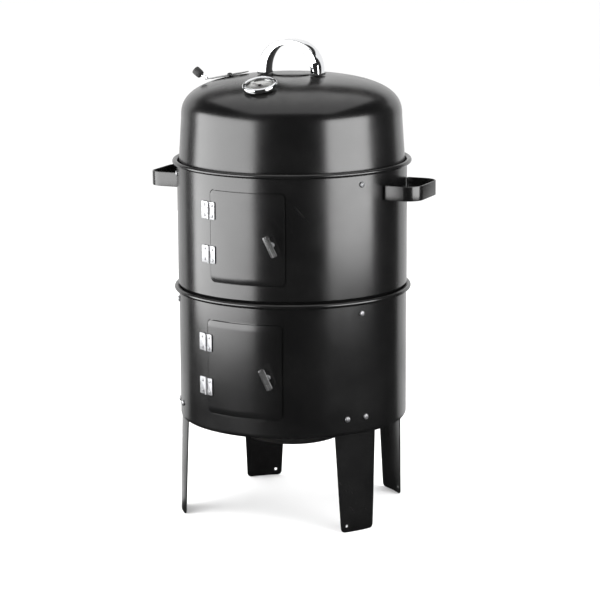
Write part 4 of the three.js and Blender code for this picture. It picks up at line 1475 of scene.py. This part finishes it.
@dataclass
class Damper:
    """The turning vent damper on the lid's left.

    Attributes:
        lid: the lid that carries it.
        radius: radius of its disc.
        arm: width of its arm and the arm's reach.
        wire: radius of its bent wire.
        knob: radius and length of its knob.
        knob_tilt: slope of the knob, in degrees.
        lift: underside of the disc off the lid.
        place: distance from the axis.
        tilt: slope of the lid there, in degrees.
        vent_angles: directions of the vent holes from its middle, in degrees.
    """

    lid: Lid
    radius: float = 34 * MM
    arm: tuple[float, float] = (9 * MM, 48 * MM)
    wire: float = 1.7 * MM
    knob: tuple[float, float] = (7.5 * MM, 16 * MM)
    knob_tilt: float = 50.0
    lift: float = 1.2 * MM
    place: float = 118 * MM
    tilt: float = 11.3
    vent_angles: tuple[float, float, float] = (60.0, 180.0, 300.0)

    def plate(self, seat: Matrix, half: Sequence[float], middle: Vector, corner: float,
              holes: Sequence[Vector]) -> bmesh.types.BMesh:
        """A flat round-cornered plate with round holes."""
        bm = bmesh.new()
        bmesh.ops.create_grid(bm, x_segments=24, y_segments=24, size=max(half) + 2 * MM)
        bmesh.ops.translate(bm, vec=middle, verts=bm.verts)
        span = (-MM, MM)
        cut_window(bm, Matrix.Translation(middle), half, corner, span, 14, keep_inside=True)
        vent = self.lid.vents[0]
        for hole in holes:
            cut_window(bm, Matrix.Translation(hole), (vent, vent), vent, span, 7)
        bmesh.ops.translate(bm, vec=(0.0, 0.0, SHEET), verts=bm.verts)
        thicken(bm, SHEET, UP)
        soften(bm, 0.35 * MM)
        bmesh.ops.transform(bm, matrix=seat, verts=bm.verts)
        return bm

    def build(self) -> None:
        """Makes the disc with its arm, the rivet, the wire and the knob."""
        seat = self.lid.seat(-90.0, self.place, self.tilt, self.lift)
        ring = self.lid.vents[1]
        turns = [math.radians(degrees) for degrees in self.vent_angles]
        holes = [Vector((ring * math.cos(a), ring * math.sin(a), 0.0)) for a in turns]
        disc = self.plate(seat, (self.radius, self.radius), Vector(), self.radius, holes)
        wide, reach = self.arm
        near = self.radius - 6 * MM
        arm = self.plate(seat @ Matrix.Translation((0.0, 0.0, -0.02 * MM)), (wide / 2, (reach - near) / 2),
                         Vector((0.0, -(reach + near) / 2, 0.0)), wide / 2 - 0.2 * MM, [])
        hand_over(joined(disc, arm), "damper_plate", PAINT, Body.DAMPER, ["damper_disc"])

        rivet = [(0.0, -5 * MM), (2 * MM, -5 * MM), (2 * MM, SHEET), (4.5 * MM, SHEET)]
        rivet += arc((0.0, SHEET + 0.3 * MM), (4.5 * MM, 3.0 * MM), 0, 90, 8)
        hand_over(turned_part(rivet, seat, 32), "damper_pivot", PLASTIC, Body.DAMPER, ["damper_rivet"])

        slope = math.radians(self.knob_tilt)
        aim = Vector((0.0, -math.cos(slope), math.sin(slope)))
        start = Vector((0.0, 3.5 * MM - reach, SHEET))
        end = Vector((0.0, -reach - 6.5 * MM, SHEET + 7 * MM)) + aim * 2 * MM
        bend = [start, start + UP * 5 * MM, end - aim * 5 * MM, end]
        path = [self.bezier(bend, i / 14) for i in range(15)]
        frames = [seat @ place for place in path_frames(path, Vector((1.0, 0.0, 0.0)))]
        hand_over(swept(circle(self.wire, 16), frames), "damper_bent_wire", CHROME, Body.DAMPER,
                  ["damper_wire"])
        self.build_knob(seat, end - aim * 1.6 * MM, slope)

    @staticmethod
    def bezier(points: Sequence[Vector], t: float) -> Vector:
        """A point of a cubic curve."""
        a, b, c, d = points
        s = 1 - t
        return a * s ** 3 + b * 3 * s * s * t + c * 3 * s * t * t + d * t ** 3

    def build_knob(self, seat: Matrix, foot: Vector, slope: float) -> None:
        """Makes the ribbed knob.

        Args:
            seat: the damper's seat.
            foot: the middle of the knob's foot.
            slope: its slope in radians.
        """
        radius, length = self.knob
        section = []
        for i, point in enumerate(circle(radius, 96)):
            section.append(point * (1.0 - 0.05 * (0.5 + 0.5 * math.cos(2 * math.pi * i / 6)) ** 2))
        stages = [(0.0, 0.72), (0.03, 0.86), (0.1, 0.93), (0.2, 0.95), (0.26, 1.0), (0.88, 1.0),
                  (0.95, 0.95), (0.99, 0.84), (1.0, 0.7)]
        along = seat @ Matrix.Translation(foot) @ Matrix.Rotation(math.pi / 2 - slope, 4, "X")
        frames = [along @ Matrix.Translation((0, 0, share * length))
                  @ Matrix.Diagonal((size, size, 1.0, 1.0)) for share, size in stages]
        hand_over(swept(section, frames), "damper_grip_knob", PLASTIC, Body.DAMPER, ["damper_knob"])


# ---- Inside ------------------------------------------------------------------------------


@dataclass
class Grate:
    """A round grate of welded wires.

    Attributes:
        node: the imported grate.
        body: its body.
        pitch: distance between bars.
        bar: radius of a bar.
        ring: radius of the ring's wire.
    """

    node: str
    body: Body
    pitch: float
    bar: float = 1.8 * MM
    ring: float = 2 * MM

    def build(self) -> None:
        """Makes the ring, its bars and the tie under them."""
        low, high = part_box(self.node)
        radius = (high.x - low.x) / 2
        centre = (radius - self.ring, low.z + self.ring)
        parts = [spun(arc(centre, (self.ring, self.ring), 0, 360, 12)[:-1], 128)]
        count = int((radius - 8 * MM) / self.pitch)
        for i in range(-count, count + 1):
            half = math.sqrt(radius ** 2 - (i * self.pitch) ** 2) - self.ring
            parts.append(self.rod(Vector((i * self.pitch, 0.0, high.z - self.bar)), half, 0.0))
        parts.append(self.rod(Vector((0.0, 0.0, centre[1])), radius - self.ring, 90.0))
        hand_over(joined(*parts), f"{self.node}_wires", WIRE, self.body, [self.node])

    def rod(self, middle: Vector, half: float, degrees: float) -> bmesh.types.BMesh:
        """A straight bar through a point, along Y or turned from it."""
        turn = Matrix.Rotation(math.radians(degrees), 4, "Z") @ Matrix.Rotation(math.pi / 2, 4, "X")
        place = Matrix.Translation(AXIS + middle) @ turn
        ends = [place @ Matrix.Translation((0.0, 0.0, side * half)) for side in (-1, 1)]
        return swept(circle(self.bar, 10), ends)


def build_fire_bowl(rim: float = 190 * MM, mouth: float = 182 * MM, flat: float = 40 * MM) -> None:
    """Makes the pressed fire bowl.

    Args:
        rim: outer radius of its rim.
        mouth: radius of its mouth.
        flat: radius of its flat floor.
    """
    low, high = (corner.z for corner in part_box("fire_bowl"))
    top = high - SHEET

    def dish(inset: float) -> list[tuple[float, float]]:
        """The curve from the mouth to the floor."""
        start = Vector((mouth - inset, top))
        elbow = Vector((122 * MM - inset, 140 * MM + inset / 2))
        end = Vector((64 * MM - inset / 2, low + MM + inset))
        steps = [i / 24 for i in range(25)]
        points = [start * (1 - t) ** 2 + elbow * 2 * t * (1 - t) + end * t * t for t in steps]
        return [(p.x, p.y) for p in points]

    outside = [(0.0, low), (flat, low)] + list(reversed(dish(0.0)))
    flange = [(mouth + 2 * MM, top), (rim - 1.2 * MM, top), (rim, top + SHEET / 2), (rim - 1.2 * MM, high)]
    inside = [(mouth + 1.5 * MM, high)] + [(r, z + SHEET * (1 - z / top)) for r, z in dish(SHEET)]
    profile = outside + flange + inside + [(flat, low + SHEET), (0.0, low + SHEET)]
    hand_over(spun(profile, ROUND, False), "fire_bowl_pressing", INSIDE, Body.BASE, ["fire_bowl"])


def build_water_pan(rim: float = 187 * MM, mouth: float = 178 * MM) -> None:
    """Makes the enamelled water pan.

    Args:
        rim: outer radius of its rim.
        mouth: radius of its mouth.
    """
    low, high = (corner.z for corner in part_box("water_pan"))
    bend, side = 10 * MM, mouth - 12 * MM
    outside = [(0.0, low)] + arc((side - bend, low + bend), (bend, bend), -90, -8, 6)
    outside += [(mouth, high - SHEET), (rim - MM, high - SHEET), (rim, high - SHEET / 2), (rim - MM, high)]
    inner = bend - SHEET
    inside = [(mouth - 0.5 * SHEET, high), (mouth - SHEET, high - SHEET)]
    inside += arc((side - bend, low + bend), (inner, inner), -8, -90, 6) + [(0.0, low + SHEET)]
    hand_over(spun(outside + inside, ROUND, False), "water_pan_pressing", ENAMEL, Body.PAN, ["water_pan"])


def dress_brackets() -> None:
    """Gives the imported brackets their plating."""
    for name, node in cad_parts.items():
        if "bracket" in name and "screw" not in name:
            for place in node.material_slots:
                place.material = ZINC.material()
            log.info("%s: packed part in %s", name, ZINC.name)


# ---- Studio ------------------------------------------------------------------------------


@dataclass
class Softbox:
    """A large soft light.

    Attributes:
        name: its name.
        bearing: its middle, in degrees to the right of the camera, seen from the smoker.
        distance: its distance from the smoker.
        size: its width and height.
        height: height of its middle.
        radiance: its brightness.
        pitch: how far it leans down, in degrees.
    """

    name: str
    bearing: float
    distance: float
    size: tuple[float, float]
    height: float
    radiance: float
    pitch: float = 0.0

    def build(self, azimuth: float) -> None:
        """Sets the light up.

        Args:
            azimuth: the camera's azimuth, in degrees.
        """
        data = bpy.data.lights.new(self.name, "AREA")
        data.shape = "RECTANGLE"
        data.size, data.size_y = self.size
        data.energy = self.radiance * math.pi * self.size[0] * self.size[1]
        light = bpy.data.objects.new(self.name, data)
        seat = Matrix.Translation(AXIS) @ Matrix.Rotation(math.radians(azimuth + self.bearing), 4, "Z")
        seat = seat @ Matrix.Translation((0.0, -self.distance, self.height))
        light.matrix_world = seat @ Matrix.Rotation(math.radians(90 - self.pitch), 4, "X")
        light.visible_camera = False
        bpy.context.scene.collection.objects.link(light)


@dataclass
class Studio:
    """Floor, surround, lights and camera.

    Attributes:
        azimuth: the camera's azimuth, in degrees.
        elevation: the camera's elevation, in degrees.
        distance: the camera's distance.
        aim: height of the point it looks at.
        lens: focal length in millimetres.
        shift: sideways shift of the lens.
        roll: lean of the camera, in radians.
    """

    azimuth: float = 24.0
    elevation: float = 11.516
    distance: float = 4.5
    aim: float = 0.3732
    lens: float = 152.9
    shift: float = 0.0119
    roll: float = -0.00645

    def build_camera(self) -> None:
        """Places the camera."""
        data = bpy.data.cameras.new("camera")
        data.lens = self.lens
        data.shift_x = self.shift
        camera = bpy.data.objects.new("camera", data)
        turn, climb = math.radians(self.azimuth), math.radians(self.elevation)
        back = Vector((math.sin(turn) * math.cos(climb), -math.cos(turn) * math.cos(climb), math.sin(climb)))
        aim = back.to_track_quat("Z", "Y").to_matrix().to_4x4() @ Matrix.Rotation(self.roll, 4, "Z")
        camera.matrix_world = Matrix.Translation(AXIS + UP * self.aim + back * self.distance) @ aim
        bpy.context.scene.collection.objects.link(camera)
        bpy.context.scene.camera = camera

    def build_floor(self) -> None:
        """Lays the pale floor."""
        bm = bmesh.new()
        bmesh.ops.create_grid(bm, x_segments=1, y_segments=1, size=7.0)
        turn = Matrix.Rotation(math.radians(self.azimuth), 4, "Z")
        bmesh.ops.transform(bm, matrix=turn @ Matrix.Translation((0.0, 6.1, 0.0)), verts=bm.verts)
        mesh = bpy.data.meshes.new("floor")
        bm.to_mesh(mesh)
        bm.free()
        paper = bpy.data.materials.new("white_paper")
        paper.use_nodes = True
        shader = paper.node_tree.nodes["Principled BSDF"]
        shader.inputs["Base Color"].default_value = (0.9, 0.9, 0.9, 1.0)
        shader.inputs["Roughness"].default_value = 0.9
        shader.inputs["Specular IOR Level"].default_value = 0.1
        mesh.materials.append(paper)
        floor = bpy.data.objects.new("floor", mesh)
        floor.visible_glossy = False
        bpy.context.scene.collection.objects.link(floor)

    def build_surround(self) -> None:
        """White surround for sight and soft fill, and a dark room for reflections."""
        world = bpy.data.worlds.new("surround")
        world.use_nodes = True
        bpy.context.scene.world = world
        sheet = Sheet(world.node_tree)
        shader = world.node_tree.nodes["Background"]
        ray = sheet.add("ShaderNodeLightPath")
        white = sheet.math("MAXIMUM", ray.outputs["Is Camera Ray"],
                           sheet.math("MULTIPLY", ray.outputs["Is Diffuse Ray"], 1.16))
        sheet.link(sheet.math("MAXIMUM", white, 0.03), shader.inputs["Strength"])
        shader.inputs["Color"].default_value = (1.0, 1.0, 1.0, 1.0)

    def build(self) -> None:
        """Sets up everything round the smoker."""
        bpy.context.scene.view_settings.view_transform = "Standard"
        self.build_camera()
        self.build_floor()
        self.build_surround()
        for light in (
                Softbox("left_softbox", -72.5, 1.25, (1.86, 0.92), 0.55, 6.4),
                Softbox("right_softbox", 57.0, 1.35, (1.2, 0.78), 0.63, 7.4),
                Softbox("backdrop_light", 180.0, 3.2, (7.4, 3.4), 0.7, 0.95),
                Softbox("overhead_light", 0.0, 0.0, (3.2, 3.2), 2.4, 1.1, 90.0),
        ):
            light.build(self.azimuth)


# ---- Assembly ----------------------------------------------------------------------------


def build_smoker() -> None:
    """Makes every piece of the smoker."""
    lower = Barrel("lower", Body.BASE, -2.0, (141 * MM, 163 * MM), lip=7 * MM)
    upper = Barrel("upper", Body.UPPER, 0.5, (137 * MM, 157 * MM), foot_step=3.4 * MM)
    for barrel in (lower, upper):
        barrel.build()
    nodes = list(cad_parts)
    build_fixings(lower, [n for n in nodes if n.startswith(("lower_bracket_screw", "leg_bolt"))])
    build_fixings(upper, [n for n in nodes if n.startswith("upper_bracket_screw")])
    Door(lower, Body.LOWER_DOOR, Body.LOWER_LATCH).build()
    Door(upper, Body.UPPER_DOOR, Body.UPPER_LATCH).build()
    for name, azimuth in LEG_AZIMUTHS.items():
        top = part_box(f"leg_{name}")[1].z
        Leg(f"leg_{name}", azimuth, lower.radius - SHEET - LEG_CLEARANCE, top, lower.bottom).build()
    for side in ("left", "right"):
        SideHandle(side, upper.radius).build()
    lid = Lid()
    lid.build()
    LidHandle().build()
    Thermometer(lid).build()
    Damper(lid).build()
    Grate("upper_cooking_grate", Body.TOP_GRATE, COOKING_PITCH).build()
    Grate("lower_cooking_grate", Body.LOW_GRATE, COOKING_PITCH).build()
    Grate("charcoal_grate", Body.COAL, COAL_PITCH).build()
    build_fire_bowl()
    build_water_pan()
    dress_brackets()


def main() -> None:
    """Builds the studio and the smoker."""
    logging.basicConfig(level=logging.INFO, format="%(name)s: %(message)s")
    Studio().build()
    build_smoker()


if __name__ == "__main__":
    main()
